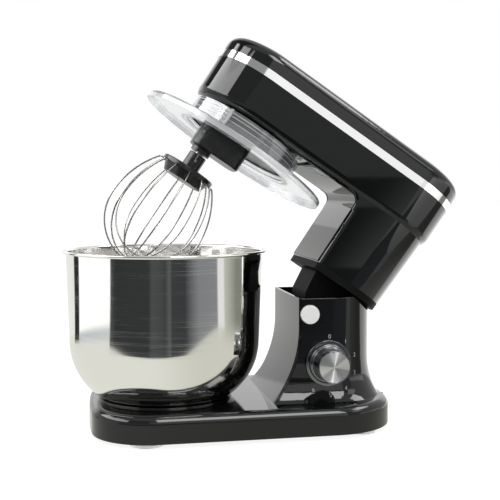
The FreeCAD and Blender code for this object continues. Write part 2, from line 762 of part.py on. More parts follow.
def underside_panel():
    """L-shaped cover that closes the arm's underside and the neck's front."""
    front = behind(-HEAD_AHEAD)
    neck = behind(NECK_FRONT_BEHIND) + PANEL_RECESS / 2
    corners = [
        (front, PANEL_Z, 0),
        (neck, PANEL_Z, PANEL_BEND),
        (neck, SHELL_BOTTOM_Z, 0),
        (neck + PANEL_THICK, SHELL_BOTTOM_Z, 0),
        (neck + PANEL_THICK, PANEL_Z + PANEL_THICK, PANEL_BEND - PANEL_THICK),
        (front, PANEL_Z + PANEL_THICK, 0),
    ]
    half = HEAD_WIDTH / 2
    bent = prism(rounded_wire(corners, side(-half)), Y_DIR * 2 * half)
    arm_room = arm_solid(HEAD_EDGE_ROUND - HEAD_WALL + FIT_GAP)
    half = NECK_WIDTH / 2 - HEAD_WALL - FIT_GAP
    neck_room = block(front, HINGE_X, -half, half, SHELL_BOTTOM_Z, HEAD_UNDERSIDE_Z)
    panel = bent.common(arm_room.fuse(neck_room))
    return panel.cut(drum(SHAFT_BORE + FIT_GAP, PANEL_Z, CASE_Z)).removeSplitter()


def trim_band():
    """Plated band between the head's shell and its top cover, slightly proud of both."""
    outer = prism(arm_outline(BAND_Z, -BAND_PROUD), Z_DIR * BAND_HEIGHT)
    return outer.cut(prism(arm_outline(BAND_Z, BAND_THICK - BAND_PROUD), Z_DIR * BAND_HEIGHT))


def cover_solid(inset=0.0):
    """Crowned lid: upright sides, a round edge and a crown that is an arc across the head."""
    half = HEAD_WIDTH / 2
    top = COVER_Z + COVER_HEIGHT
    edge = COVER_EDGE_ROUND
    crown_z = top - COVER_CROWN_RADIUS
    edge_z = crown_z + math.sqrt((COVER_CROWN_RADIUS - edge) ** 2 - (half - edge) ** 2)
    tangent = math.asin((half - edge) / (COVER_CROWN_RADIUS - edge))
    turn = math.pi / 2 - tangent
    steps = 4
    levels = []
    for i in range(steps + 1):
        angle = turn * i / steps
        levels.append((edge - edge * math.cos(angle), edge_z + edge * math.sin(angle)))
    cap = math.asin(COVER_CAP_HALF / COVER_CROWN_RADIUS)
    for i in range(1, steps + 1):
        angle = tangent + (cap - tangent) * i / steps
        rise = COVER_CROWN_RADIUS * math.cos(angle)
        levels.append((half - COVER_CROWN_RADIUS * math.sin(angle), crown_z + rise))
    rings = [arm_outline(z - inset, inset + d) for d, z in levels]
    dome = Part.makeLoft(rings, True, False)
    return dome.fuse(prism(arm_outline(COVER_Z, inset), Z_DIR * (edge_z - inset - COVER_Z)))


def top_cover():
    """Thin crowned lid that stands on the band."""
    return cover_solid().cut(cover_solid(HEAD_WALL)).removeSplitter()


def bush_spans():
    """Where the two hinge bushes sit in the tongue."""
    half = TONGUE_WIDTH / 2
    return ((-half, HINGE_BUSH_LENGTH - half), (half - HINGE_BUSH_LENGTH, half))


def tongue_outline():
    """Side view of the tongue: a leaning front, a toe, a heel and a back behind the hinge pin."""
    front = behind(TONGUE_FRONT_BEHIND)
    low = NECK_BOTTOM_Z - TONGUE_DEPTH
    return [
        (front - TONGUE_LEAN, SHELL_BOTTOM_Z, 0),
        (front, low + TONGUE_DEPTH / 2, 0),
        (front + TONGUE_TOE, low, TONGUE_TOE_ROUND),
        (front + TONGUE_HEEL, low, TONGUE_HEEL_ROUND),
        (HINGE_X + TONGUE_BACK, HINGE_Z - TONGUE_BACK_DROP, TONGUE_BACK_ROUND),
        (HINGE_X + TONGUE_BACK, SHELL_BOTTOM_Z, 0),
    ]


def bracket_room(inset):
    """Hollow of the bottom moulding and its tongue, open above, round three bosses and a middle rib."""
    low = NECK_BOTTOM_Z + BRACKET_FLOOR
    tray = neck_solid(low, MOTOR_FOOT_Z, inset + BRACKET_WALL)
    pit = block(behind(TONGUE_FRONT_BEHIND) + TONGUE_TOE + BRACKET_WALL, HINGE_X - TONGUE_BARREL_RADIUS,
                BRACKET_WALL - TONGUE_WIDTH / 2, TONGUE_WIDTH / 2 - BRACKET_WALL,
                NECK_BOTTOM_Z - TONGUE_DEPTH + BRACKET_WALL, MOTOR_FOOT_Z)
    boss = drum(CASE_POST_RADIUS + BRACKET_WALL, low - TONGUE_DEPTH, MOTOR_FOOT_Z, MOTOR_X + MOTOR_LEG_REACH)
    half = BRACKET_WALL / 2
    rib = block(behind(0), behind(HEAD_BEHIND), -half, half, low - TONGUE_DEPTH, MOTOR_FOOT_Z)
    return tray.fuse(pit).cut([*around(boss, MOTOR_LEG_COUNT, MOTOR_X), rib])


def hinge_bracket():
    """Moulding that closes the neck's bottom and carries the tongue on the hinge pin."""
    inset = HEAD_WALL + PANEL_THICK + PANEL_RECESS / 2 + FIT_GAP
    skirt = neck_solid(NECK_BOTTOM_Z, SHELL_BOTTOM_Z, SEAT_GAP)
    plug = neck_solid(SHELL_BOTTOM_Z, MOTOR_FOOT_Z, inset)
    half = TONGUE_WIDTH / 2
    tongue = prism(rounded_wire(tongue_outline(), side(-half)), Y_DIR * TONGUE_WIDTH)
    barrel = rod_across(TONGUE_BARREL_RADIUS, -half, half, HINGE_X, HINGE_Z)
    bores = [rod_across(HINGE_PIN_RADIUS + HINGE_BUSH_WALL, *span, HINGE_X, HINGE_Z) for span in bush_spans()]
    bores.append(rod_across(HINGE_PIN_RADIUS + FIT_GAP, -half, half, HINGE_X, HINGE_Z))
    body = skirt.fuse([plug, tongue]).cut(bracket_room(inset))
    return body.fuse(barrel).cut(bores).removeSplitter()


def hinge_bushes():
    """Plain bearings between the hinge pin and the tongue."""
    bushes = []
    for span in bush_spans():
        outer = rod_across(HINGE_PIN_RADIUS + HINGE_BUSH_WALL, *span, HINGE_X, HINGE_Z)
        bushes.append(outer.cut(rod_across(HINGE_PIN_RADIUS + RUNNING_GAP, *span, HINGE_X, HINGE_Z)))
    return Part.makeCompound(bushes)


def hinge_pin_half():
    """Half the hinge pin's length, which ends inside the bosses."""
    return TONGUE_WIDTH / 2 + HINGE_PIN_GRIP


def hinge_pin():
    """Steel pin through both bosses and the tongue."""
    half = hinge_pin_half()
    return rod_across(HINGE_PIN_RADIUS, -half, half, HINGE_X, HINGE_Z)


def gear_outline(teeth, module, tip, root, slack, z, x, start):
    """Closed involute tooth outline; slack narrows the teeth and start turns the first one."""
    pitch = teeth * module / 2
    pressure = math.radians(GEAR_PRESSURE_ANGLE)
    base = pitch * math.cos(pressure)
    half = math.pi / (2 * teeth) - slack / (2 * pitch) + math.tan(pressure) - pressure
    flank_low = max(base, pitch - root)
    flank_high = pitch + tip
    flank = []
    for i in range(4):
        radius = flank_low + (flank_high - flank_low) * i / 3
        roll = math.acos(base / radius)
        flank.append((radius, half - (math.tan(roll) - roll)))
    if flank_low > pitch - root:
        flank.insert(0, (pitch - root, half))
    points = []
    for i in range(teeth):
        middle = start + 2 * math.pi * i / teeth
        for radius, angle in flank:
            points.append(V(x + radius * math.cos(middle - angle), radius * math.sin(middle - angle), z))
        for radius, angle in flank[::-1]:
            points.append(V(x + radius * math.cos(middle + angle), radius * math.sin(middle + angle), z))
    return Part.makePolygon(points + points[:1])


def spur_gear(teeth, module, bore, low, high, x, start):
    """External gear with a plain bore."""
    wire = gear_outline(teeth, module, GEAR_TIP * module, GEAR_ROOT * module, GEAR_BACKLASH, low, x, start)
    return prism(wire, Z_DIR * (high - low)).cut(drum(bore, low, high, x))


def ring_gear():
    """Fixed internal gear inside the collar; its tooth spaces are an outer gear's teeth."""
    wire = gear_outline(RING_TEETH, DRIVE_MODULE, GEAR_ROOT * DRIVE_MODULE, RING_GEAR_TIP * DRIVE_MODULE,
                        -GEAR_BACKLASH, RING_GEAR_Z, BOWL_AXIS_X, math.pi)
    rim = drum(COLLAR_INNER_RADIUS, RING_GEAR_Z, COLLAR_CEILING_Z)
    return rim.cut(prism(wire, Z_DIR * RING_GEAR_HEIGHT))


def drive_collar():
    """Deep collar under the head that holds the ring gear and carries the guard's lugs."""
    cup = drum(COLLAR_OUTER_RADIUS, COLLAR_BOTTOM_Z, HEAD_UNDERSIDE_Z)
    cup = cup.makeFillet(COLLAR_EDGE_ROUND, level_edges(cup, COLLAR_BOTTOM_Z))
    cup = cup.fuse(drum(COLLAR_SPIGOT_RADIUS, COLLAR_CEILING_Z, PANEL_Z))
    cup = cup.cut(drum(COLLAR_INNER_RADIUS, COLLAR_BOTTOM_Z, COLLAR_CEILING_Z))
    cup = cup.cut(drum(SHAFT_BORE + FIT_GAP, COLLAR_CEILING_Z, PANEL_Z))
    lug = ring_sector(COLLAR_OUTER_RADIUS + COLLAR_LUG_REACH, COLLAR_OUTER_RADIUS - COLLAR_WALL / 2,
                      COLLAR_LUG_Z, COLLAR_LUG_Z + COLLAR_LUG_THICK, GUARD_LUG_ANGLE)
    return fused(cup, *around(lug, GUARD_LUG_COUNT))


def splash_guard():
    """Clear disc with a turned-down rim and a neck whose lugs hang on the collar's lugs."""
    inner = COLLAR_OUTER_RADIUS + GUARD_COLLAR_GAP
    outer = inner + GUARD_THICK
    top = GUARD_DISC_Z + GUARD_THICK
    corners = [
        (inner, GUARD_DISC_Z, 0),
        (GUARD_RADIUS - GUARD_LIP_WIDTH, GUARD_DISC_Z, 0),
        (GUARD_RADIUS - GUARD_LIP_WIDTH, GUARD_DISC_Z - GUARD_LIP_DROP, 0),
        (GUARD_RADIUS, GUARD_DISC_Z - GUARD_LIP_DROP, 0),
        (GUARD_RADIUS, top, GUARD_RIM_ROUND),
        (outer, top, GUARD_THICK),
        (outer, HEAD_UNDERSIDE_Z - FIT_GAP, 0),
        (inner, HEAD_UNDERSIDE_Z - FIT_GAP, 0),
    ]
    lug_z = COLLAR_LUG_Z + COLLAR_LUG_THICK + FIT_GAP
    lug = ring_sector(inner + GUARD_THICK / 2, COLLAR_OUTER_RADIUS + FIT_GAP,
                      lug_z, lug_z + GUARD_LUG_THICK, GUARD_LUG_ANGLE)
    rib = block(behind(outer - GUARD_THICK / 2), behind(outer + GUARD_STOP_THICK), -GUARD_STOP_THICK / 2,
                GUARD_STOP_THICK / 2, top - GUARD_THICK / 2, HEAD_UNDERSIDE_Z - FIT_GAP)
    lugs = around(lug, GUARD_LUG_COUNT)
    ribs = around(rib, GUARD_LUG_COUNT, start=GUARD_RIB_TURN)
    return fused(turned(corners), *lugs, *ribs)


def gear_case_floor():
    """Cast floor of the gear case, with the posts that carry its bridge."""
    floor = prism(arm_outline(CASE_Z, CASE_INSET), Z_DIR * CASE_FLOOR_THICK)
    reach = HEAD_BEHIND
    floor = floor.cut(block(behind(CASE_REAR_BEHIND), behind(reach), -reach, reach, CASE_Z, CASE_FLOOR_TOP_Z))
    posts = [drum(CASE_POST_RADIUS, CASE_Z, BRIDGE_Z, x, y) for x, y in case_posts()]
    bores = [drum(SHAFT_BORE, CASE_Z, CASE_FLOOR_TOP_Z)]
    bores.append(drum(LAYSHAFT_RADIUS + BUSH_WALL, CASE_Z, CASE_FLOOR_TOP_Z, LAYSHAFT_X))
    return fused(floor, *posts).cut(bores)


def case_posts():
    """Plan places of the posts between the gear case's floor and bridge."""
    rear = behind(CASE_REAR_BEHIND) - 2 * CASE_POST_RADIUS
    return [(x, way * CASE_POST_Y) for x in (behind(-CASE_POST_AHEAD), rear) for way in (-1, 1)]


def gear_case_bridge():
    """Plate on the case's posts that carries the upper bushes."""
    front = behind(-CASE_POST_AHEAD) - 2 * CASE_POST_RADIUS
    rear = behind(CASE_REAR_BEHIND)
    half = CASE_BRIDGE_HALF
    corner = 2 * CASE_POST_RADIUS
    corners = [(front, -half, corner), (rear, -half, corner), (rear, half, corner), (front, half, corner)]
    plate = prism(rounded_wire(corners, plan(BRIDGE_Z)), Z_DIR * CASE_BRIDGE_THICK)
    bores = [drum(SHAFT_BORE, BRIDGE_Z, BRIDGE_TOP_Z)]
    bores.append(drum(LAYSHAFT_RADIUS + BUSH_WALL, BRIDGE_Z, BRIDGE_TOP_Z, LAYSHAFT_X))
    return plate.cut(bores)


def shaft_bushes():
    """Sleeve bearings of the main shaft, the layshaft and the motor shaft."""
    case = ((CASE_Z, CASE_FLOOR_TOP_Z), (BRIDGE_Z, BRIDGE_TOP_Z))
    motor = ((CAN_Z - MOTOR_END_THICK, CAN_Z), (CAN_TOP_Z, CAN_TOP_Z + MOTOR_END_THICK))
    shafts = (
        (MAIN_SHAFT_RADIUS, BOWL_AXIS_X, case),
        (LAYSHAFT_RADIUS, LAYSHAFT_X, case),
        (MOTOR_SHAFT_RADIUS, MOTOR_X, motor),
    )
    bushes = []
    for radius, x, spans in shafts:
        bushes += [tube(radius + BUSH_WALL, radius + RUNNING_GAP, *span, x) for span in spans]
    return Part.makeCompound(bushes)


def main_shaft():
    """Shaft that carries the main gear above and the planet carrier below."""
    shaft = drum(MAIN_SHAFT_RADIUS, BLOCK_TOP_Z - CARRIER_PLATE_THICK, BRIDGE_TOP_Z + FIT_GAP)
    collar = drum(SHAFT_BORE, CASE_FLOOR_TOP_Z + FIT_GAP, main_gear_z())
    return fused(shaft, collar)


def main_gear_z():
    """Height of the main gear's lower face above the case floor."""
    return CASE_FLOOR_TOP_Z + SPUR_CLEARANCE


def main_gear():
    """Large spur gear on the main shaft."""
    low = main_gear_z()
    return spur_gear(MAIN_GEAR_TEETH, SPUR_MODULE, MAIN_SHAFT_RADIUS, low, low + SPUR_WIDTH, BOWL_AXIS_X, 0)


def layshaft():
    """Shaft with its pinion cut on it, between the belt pulley and the main gear."""
    low = main_gear_z()
    start = math.pi + math.pi / PINION_TEETH
    high = low + SPUR_WIDTH
    pinion = spur_gear(PINION_TEETH, SPUR_MODULE, LAYSHAFT_RADIUS / 2, low, high, LAYSHAFT_X, start)
    return fused(drum(LAYSHAFT_RADIUS, CASE_Z, PULLEY_Z + PULLEY_WIDTH, LAYSHAFT_X), pinion)


def belt_pulley(radius, bore, x):
    """Flat-faced pulley with a flange on each side and a bore."""
    flange = radius + BELT_THICK + PULLEY_FLANGE
    top = PULLEY_Z + PULLEY_WIDTH
    corners = [
        (bore, PULLEY_Z, 0),
        (flange, PULLEY_Z, 0),
        (flange, PULLEY_Z + PULLEY_FLANGE, 0),
        (radius, PULLEY_Z + PULLEY_FLANGE, 0),
        (radius, top - PULLEY_FLANGE, 0),
        (flange, top - PULLEY_FLANGE, 0),
        (flange, top, 0),
        (bore, top, 0),
    ]
    return turned(corners, x)


def belt_loop(extra, low, high):
    """Solid inside a belt that runs round both pulleys, at a distance from their faces."""
    big = BIG_PULLEY_RADIUS + extra
    small = MOTOR_PULLEY_RADIUS + extra
    span = MOTOR_X - LAYSHAFT_X
    angle = math.acos((big - small) / span)
    corners = []
    rims = ((LAYSHAFT_X, big, 1), (MOTOR_X, small, 1), (MOTOR_X, small, -1), (LAYSHAFT_X, big, -1))
    for x, radius, way in rims:
        corners.append((x + radius * math.cos(angle), way * radius * math.sin(angle), 0))
    web = prism(rounded_wire(corners, plan(low)), Z_DIR * (high - low))
    return drum(big, low, high, LAYSHAFT_X).fuse([web, drum(small, low, high, MOTOR_X)])


def drive_belt():
    """Flat ribbed belt from the motor's pulley to the layshaft's."""
    low = PULLEY_Z + PULLEY_FLANGE + FIT_GAP
    high = PULLEY_Z + PULLEY_WIDTH - PULLEY_FLANGE - FIT_GAP
    return belt_loop(BELT_GAP + BELT_THICK, low, high).cut(belt_loop(BELT_GAP, low, high)).removeSplitter()


def motor_end(low, high):
    """End plate of the motor with a bearing bore."""
    return tube(MOTOR_CAN_RADIUS, MOTOR_SHAFT_RADIUS + BUSH_WALL, low, high, MOTOR_X)


def motor_end_lower():
    """Lower end plate on three legs that stand on the neck's bottom moulding."""
    plate = motor_end(CAN_Z - MOTOR_END_THICK, CAN_Z)
    leg = drum(CASE_POST_RADIUS, MOTOR_FOOT_Z, CAN_Z - MOTOR_END_THICK / 2, MOTOR_X + MOTOR_LEG_REACH)
    return fused(plate, *around(leg, MOTOR_LEG_COUNT, MOTOR_X))


def motor_can():
    """Deep can with a closed upper end and four air windows."""
    can = tube(MOTOR_CAN_RADIUS, MOTOR_CAN_RADIUS - MOTOR_CAN_WALL, CAN_Z, CAN_TOP_Z, MOTOR_X)
    can = fused(can, motor_end(CAN_TOP_Z, CAN_TOP_Z + MOTOR_END_THICK))
    half = STATOR_RISE / 2
    low = CAN_TOP_Z - CAN_WINDOW_DROP
    window = block(MOTOR_X, MOTOR_X + 2 * MOTOR_CAN_RADIUS, -half, half, low, low + half)
    return can.cut(around(window, 4, MOTOR_X, 45.0))


def stator_core():
    """Laminated stator pressed into the can."""
    low = CAN_Z + STATOR_RISE
    return tube(MOTOR_CAN_RADIUS - MOTOR_CAN_WALL, STATOR_BORE_RADIUS, low, low + STATOR_HEIGHT, MOTOR_X)


def motor_shaft():
    """Motor shaft from below the lower bearing up to the belt pulley."""
    return drum(MOTOR_SHAFT_RADIUS, MOTOR_FOOT_Z + FIT_GAP, PULLEY_Z + PULLEY_WIDTH, MOTOR_X)


def rotor_core():
    """Slotted rotor stack on the motor shaft."""
    low = CAN_Z + STATOR_RISE
    high = low + STATOR_HEIGHT
    core = tube(ROTOR_RADIUS, MOTOR_SHAFT_RADIUS, low, high, MOTOR_X)
    width = ROTOR_RADIUS / ROTOR_SLOTS
    root = MOTOR_X + ROTOR_RADIUS - ROTOR_SLOT_DEPTH
    slot = block(root, MOTOR_X + 2 * ROTOR_RADIUS, -width, width, low, high)
    return core.cut(around(slot, ROTOR_SLOTS, MOTOR_X))


def commutator():
    """Copper commutator above the rotor."""
    low = CAN_Z + STATOR_RISE + STATOR_HEIGHT
    return tube(COMMUTATOR_RADIUS, MOTOR_SHAFT_RADIUS, low, low + COMMUTATOR_HEIGHT, MOTOR_X)


def motor_brushes():
    """Two carbon brushes in the can's wall, facing the commutator."""
    low = CAN_Z + STATOR_RISE + STATOR_HEIGHT + FIT_GAP
    inner = COMMUTATOR_RADIUS + BRUSH_GAP
    outer = MOTOR_CAN_RADIUS - MOTOR_CAN_WALL - FIT_GAP
    half = COMMUTATOR_RADIUS / 3
    brush = block(MOTOR_X + inner, MOTOR_X + outer, -half, half, low, low + COMMUTATOR_HEIGHT - FIT_GAP)
    return Part.makeCompound(around(brush, 2, MOTOR_X, 90.0))


def cooling_fan():
    """Radial fan below the rotor: a hub disc with straight blades."""
    low = CAN_Z + FIT_GAP * 4
    high = CAN_Z + STATOR_RISE - FIT_GAP * 4
    disc = tube(FAN_RADIUS, MOTOR_SHAFT_RADIUS, low, low + MOTOR_CAN_WALL, MOTOR_X)
    sleeve = tube(2 * MOTOR_SHAFT_RADIUS, MOTOR_SHAFT_RADIUS, low, high, MOTOR_X)
    half = MOTOR_CAN_WALL / 2
    root = MOTOR_X + 2 * MOTOR_SHAFT_RADIUS - FAN_BLADE_ROOT
    blade = block(root, MOTOR_X + FAN_RADIUS - FAN_BLADE_INSET, -half, half, low, high)
    return fused(disc, sleeve, *around(blade, FAN_BLADES, MOTOR_X))


def planet_carrier():
    """Round dust plate with the offset block below it that carries the output shaft."""
    plate = drum(CARRIER_PLATE_RADIUS, BLOCK_TOP_Z, CARRIER_TOP_Z)
    front = PLANET_X - CARRIER_FRONT_REACH
    rear = behind(CARRIER_REAR_REACH)
    half = CARRIER_HALF_WIDTH
    corner = CARRIER_CORNER
    corners = [(front, -half, corner), (rear, -half, corner), (rear, half, corner), (front, half, corner)]
    body = prism(rounded_wire(corners, plan(CARRIER_BOTTOM_Z)), Z_DIR * (BLOCK_TOP_Z - CARRIER_BOTTOM_Z))
    body = body.makeFillet(CARRIER_EDGE_ROUND, level_edges(body, CARRIER_BOTTOM_Z))
    boss = drum(OUTPUT_BOSS_RADIUS, CARRIER_BOTTOM_Z - OUTPUT_BOSS_DROP, BLOCK_TOP_Z, PLANET_X)
    bores = [drum(MAIN_SHAFT_RADIUS, BLOCK_TOP_Z - CARRIER_PLATE_THICK, CARRIER_TOP_Z)]
    boss_z = CARRIER_BOTTOM_Z - OUTPUT_BOSS_DROP
    bores.append(drum(OUTPUT_SHAFT_RADIUS + FIT_GAP, boss_z, CARRIER_TOP_Z, PLANET_X))
    bores += [drum(OUTPUT_SHAFT_RADIUS + BUSH_WALL, *span, PLANET_X) for span in carrier_bush_spans()]
    return fused(plate, body, boss).cut(bores)


def carrier_bush_spans():
    """Where the output shaft's two bushes sit in the carrier."""
    low = CARRIER_BOTTOM_Z - OUTPUT_BOSS_DROP
    return ((low, low + BUSH_LENGTH), (CARRIER_TOP_Z - BUSH_LENGTH, CARRIER_TOP_Z))


def carrier_bushes():
    """Plain bearings of the output shaft in the carrier."""
    outer = OUTPUT_SHAFT_RADIUS + BUSH_WALL
    inner = OUTPUT_SHAFT_RADIUS + RUNNING_GAP
    return Part.makeCompound([tube(outer, inner, *span, PLANET_X) for span in carrier_bush_spans()])


def output_shaft():
    """Shaft that the whisk hangs on, with a hole for its cross pin."""
    shaft = drum(OUTPUT_SHAFT_RADIUS, OUTPUT_SHAFT_LOW_Z, COLLAR_CEILING_Z - FIT_GAP, PLANET_X)
    return shaft.cut(rod_across(CROSS_PIN_RADIUS, -HUB_STEM_RADIUS, HUB_STEM_RADIUS, PLANET_X, CROSS_PIN_Z))


def planet_pinion():
    """Small gear on the output shaft that rolls round the ring gear."""
    low = RING_GEAR_Z + FIT_GAP
    high = COLLAR_CEILING_Z - FIT_GAP
    return spur_gear(PLANET_TEETH, DRIVE_MODULE, OUTPUT_SHAFT_RADIUS, low, high, PLANET_X, math.pi)


def cross_pin():
    """Pin through the output shaft that drives the whisk's stem."""
    half = HUB_STEM_RADIUS - FIT_GAP
    return rod_across(CROSS_PIN_RADIUS, -half, half, PLANET_X, CROSS_PIN_Z)


def wire_slots():
    """Radial grooves between hub and cap that the wire ends lie in."""
    half = WHISK_WIRE_RADIUS + SEAT_GAP / 2
    reach = 2 * HUB_FLANGE_RADIUS
    groove = block(PLANET_X + WIRE_ROOT_RADIUS - SEAT_GAP, PLANET_X + reach, -half, half, HUB_BOTTOM_Z - half,
                   HUB_BOTTOM_Z + half)
    return around(groove, 2 * WHISK_LOOPS, PLANET_X)


def whisk_hub():
    """Stem and flange of the whisk, bored and slotted for the output shaft and its pin."""
    corners = [
        (OUTPUT_SHAFT_RADIUS + RUNNING_GAP, HUB_STEM_TOP_Z, 0),
        (HUB_STEM_RADIUS, HUB_STEM_TOP_Z, 1),
        (HUB_STEM_RADIUS, HUB_TOP_Z, 1),
        (HUB_FLANGE_RADIUS, HUB_TOP_Z, 1),
        (HUB_FLANGE_RADIUS, HUB_BOTTOM_Z, 0),
        (0, HUB_BOTTOM_Z, 0),
        (0, OUTPUT_SHAFT_LOW_Z - FIT_GAP, 0),
        (OUTPUT_SHAFT_RADIUS + RUNNING_GAP, OUTPUT_SHAFT_LOW_Z - FIT_GAP, 0),
    ]
    width = CROSS_PIN_RADIUS + SEAT_GAP
    reach = HUB_STEM_RADIUS
    slot = block(PLANET_X - width, PLANET_X + width, -reach, reach, CROSS_PIN_Z - width, HUB_STEM_TOP_Z)
    return turned(corners, PLANET_X).cut([slot, *wire_slots()])


def whisk_cap():
    """Tapered cap under the hub that clamps the wires."""
    low = HUB_BOTTOM_Z - CAP_HEIGHT
    corners = [(0, low, 0), (CAP_BOTTOM_RADIUS, low, 2), (CAP_RADIUS, HUB_BOTTOM_Z, 0), (0, HUB_BOTTOM_Z, 0)]
    return turned(corners, PLANET_X).cut(wire_slots())


def whisk_wire(index):
    """One closed loop of wire: out of the hub, down a long arc and round the bottom."""
    radius = WHISK_RADIUS - WHISK_LOOP_STEP * index
    bulge = WHISK_BULGE_Z + WHISK_LOOP_STEP * index
    leg_centre = V(radius - WHISK_LEG_RADIUS, 0, bulge)
    bend_z = HUB_BOTTOM_Z - WHISK_BEND_RADIUS
    bend_x = leg_centre.x + math.sqrt((WHISK_LEG_RADIUS - WHISK_BEND_RADIUS) ** 2 - (bend_z - bulge) ** 2)
    bend_centre = V(bend_x, 0, bend_z)
    outward = (bend_centre - leg_centre).normalize()
    joint = leg_centre + outward * WHISK_LEG_RADIUS
    bend_way = (outward + Z_DIR).normalize()
    leg_way = (outward + X_DIR).normalize()
    root = V(WIRE_ROOT_RADIUS, 0, HUB_BOTTOM_Z)
    knee = V(bend_x, 0, HUB_BOTTOM_Z)
    widest = V(radius, 0, bulge)
    lowest = V(0, 0, bulge - radius)
    sink = radius * math.sqrt(0.5)
    path = [Part.makeLine(root, knee)]
    path.append(Part.Arc(knee, bend_centre + bend_way * WHISK_BEND_RADIUS, joint).toShape())
    path.append(Part.Arc(joint, leg_centre + leg_way * WHISK_LEG_RADIUS, widest).toShape())
    path.append(Part.Arc(widest, V(sink, 0, bulge - sink), lowest).toShape())
    section = Part.Wire(Part.makeCircle(WHISK_WIRE_RADIUS, root, X_DIR))
    half = Part.Wire(path).makePipeShell([section], True, False)
    other = half.copy()
    other.rotate(V(0, 0, 0), Z_DIR, 180)
    loop = half.fuse(other).removeSplitter()
    loop.rotate(V(0, 0, 0), Z_DIR, 180.0 * index / WHISK_LOOPS)
    loop.translate(V(PLANET_X, 0, 0))
    return loop


def knob_bezel():
    """Plated ring on the column's side with a shallow dish that the knob turns in."""
    face = SIDE_Y - KNOB_BEZEL_PROUD
    ring = rod_across(KNOB_BEZEL_RADIUS, face, face + KNOB_BEZEL_DEPTH, KNOB_X, KNOB_Z)
    ring = ring.cut(column_solid())
    dish_radius = KNOB_BEZEL_RADIUS - KNOB_BEZEL_WALL
    dish = rod_across(dish_radius, face, SIDE_Y - KNOB_BEZEL_PROUD / 3, KNOB_X, KNOB_Z)
    return ring.cut([dish, rod_across(SWITCH_BUSH_RADIUS, face, SIDE_Y + BODY_WALL, KNOB_X, KNOB_Z)])


def speed_knob():
    """Plated knob with a skirt, a tapered grip, a recess for its face and a spindle."""
    start = SIDE_Y - KNOB_BEZEL_PROUD / 3 - FIT_GAP
    skirt = KNOB_BEZEL_RADIUS - KNOB_BEZEL_WALL - 2 * FIT_GAP
    shoulder = start - KNOB_SKIRT_THICK
    front = SIDE_Y - KNOB_PROUD
    seat = front + KNOB_FACE_THICK
    tip = KNOB_RADIUS - KNOB_TAPER
    corners = [
        (0, start, 0),
        (skirt, start, 0),
        (skirt, shoulder, 1),
        (KNOB_RADIUS, shoulder, 1),
        (tip, front, 0),
        (tip - KNOB_FACE_WALL, front, 0),
        (tip - KNOB_FACE_WALL, seat, 0),
        (0, seat, 0),
    ]
    wire = rounded_wire(corners, lambda a, b: V(KNOB_X + a, b, KNOB_Z))
    body = Part.Face(wire).revolve(V(KNOB_X, 0, KNOB_Z), Y_DIR, 360)
    spindle = rod_across(KNOB_SHAFT_RADIUS, seat, switch_face() + SWITCH_DEPTH / 2, KNOB_X, KNOB_Z)
    return fused(body, spindle)


def knob_face():
    """Spun aluminium disc set into the knob's front."""
    front = SIDE_Y - KNOB_PROUD
    radius = KNOB_RADIUS - KNOB_TAPER - KNOB_FACE_WALL
    return rod_across(radius, front, front + KNOB_FACE_THICK, KNOB_X, KNOB_Z)


def switch_face():
    """Y of the switch body's front, behind the column's wall."""
    return SIDE_Y + BODY_WALL + FIT_GAP * 4


def speed_switch():
    """Rotary switch held in the column's wall by its bush."""
    half = SWITCH_SIZE / 2
    face = switch_face()
    body = block(KNOB_X - half, KNOB_X + half, face, face + SWITCH_DEPTH, KNOB_Z - half, KNOB_Z + half)
    bush = rod_across(SWITCH_BUSH_RADIUS, SIDE_Y, face, KNOB_X, KNOB_Z)
    depth = face + SWITCH_DEPTH / 2 + FIT_GAP
    hole = rod_across(KNOB_SHAFT_RADIUS + RUNNING_GAP, SIDE_Y, depth, KNOB_X, KNOB_Z)
    return fused(body, bush).cut(hole)


def button_flange_y():
    """Y of the button flange's outer face, just inside the column's wall."""
    return SIDE_Y + BODY_WALL + FIT_GAP


def release_button():
    """Round button with a retaining flange and a plunger towards the hinge tongue."""
    flange = button_flange_y()
    inner = flange + BUTTON_FLANGE
    cap = rod_across(BUTTON_RADIUS, SIDE_Y - BUTTON_PROUD, inner, BUTTON_X, BUTTON_Z)
    front = [e for e in cap.Edges if abs(e.BoundBox.YMax - (SIDE_Y - BUTTON_PROUD)) < 1e-3]
    cap = cap.makeFillet(BUTTON_FLANGE / 2, front)
    reach = BUTTON_RADIUS + 2 * BUTTON_FLANGE
    rim = rod_across(reach, flange, inner, BUTTON_X, BUTTON_Z)
    rim = rim.cut(block(BUTTON_X - reach, BUTTON_X, flange, inner, BUTTON_Z - reach, BUTTON_Z + reach))
    tip = -TONGUE_WIDTH / 2 - FIT_GAP * 2 - BUTTON_TRAVEL
    return fused(cap, rim, rod_across(PLUNGER_RADIUS, inner, tip, BUTTON_X, BUTTON_Z))


def guide_span():
    """Y span of the plate that guides the button's plunger."""
    start = button_flange_y() + BUTTON_FLANGE + BUTTON_TRAVEL + spring_length() + 2 * FIT_GAP
    return start, start + GUIDE_THICK


def spring_length():
    """Length of the button's spring as it is drawn, which is its pressed length."""
    return SPRING_PITCH * SPRING_TURNS + 2 * SPRING_WIRE_RADIUS


def button_guide():
    """Bracket from the column's front wall that guides the plunger and backs its spring."""
    half = BUTTON_RADIUS
    front = behind(COLUMN_FRONT_BEHIND) + BODY_WALL / 2
    plate = block(front, BUTTON_X + half, *guide_span(), BUTTON_Z - half, BUTTON_Z + half)
    hole = rod_across(PLUNGER_RADIUS + FIT_GAP, *guide_span(), BUTTON_X, BUTTON_Z)
    return plate.cut([hole, column_wall()])


def column_wall():
    """The column's wall alone, for fitting brackets against its inner face."""
    return column_solid().cut(column_solid(BODY_WALL))


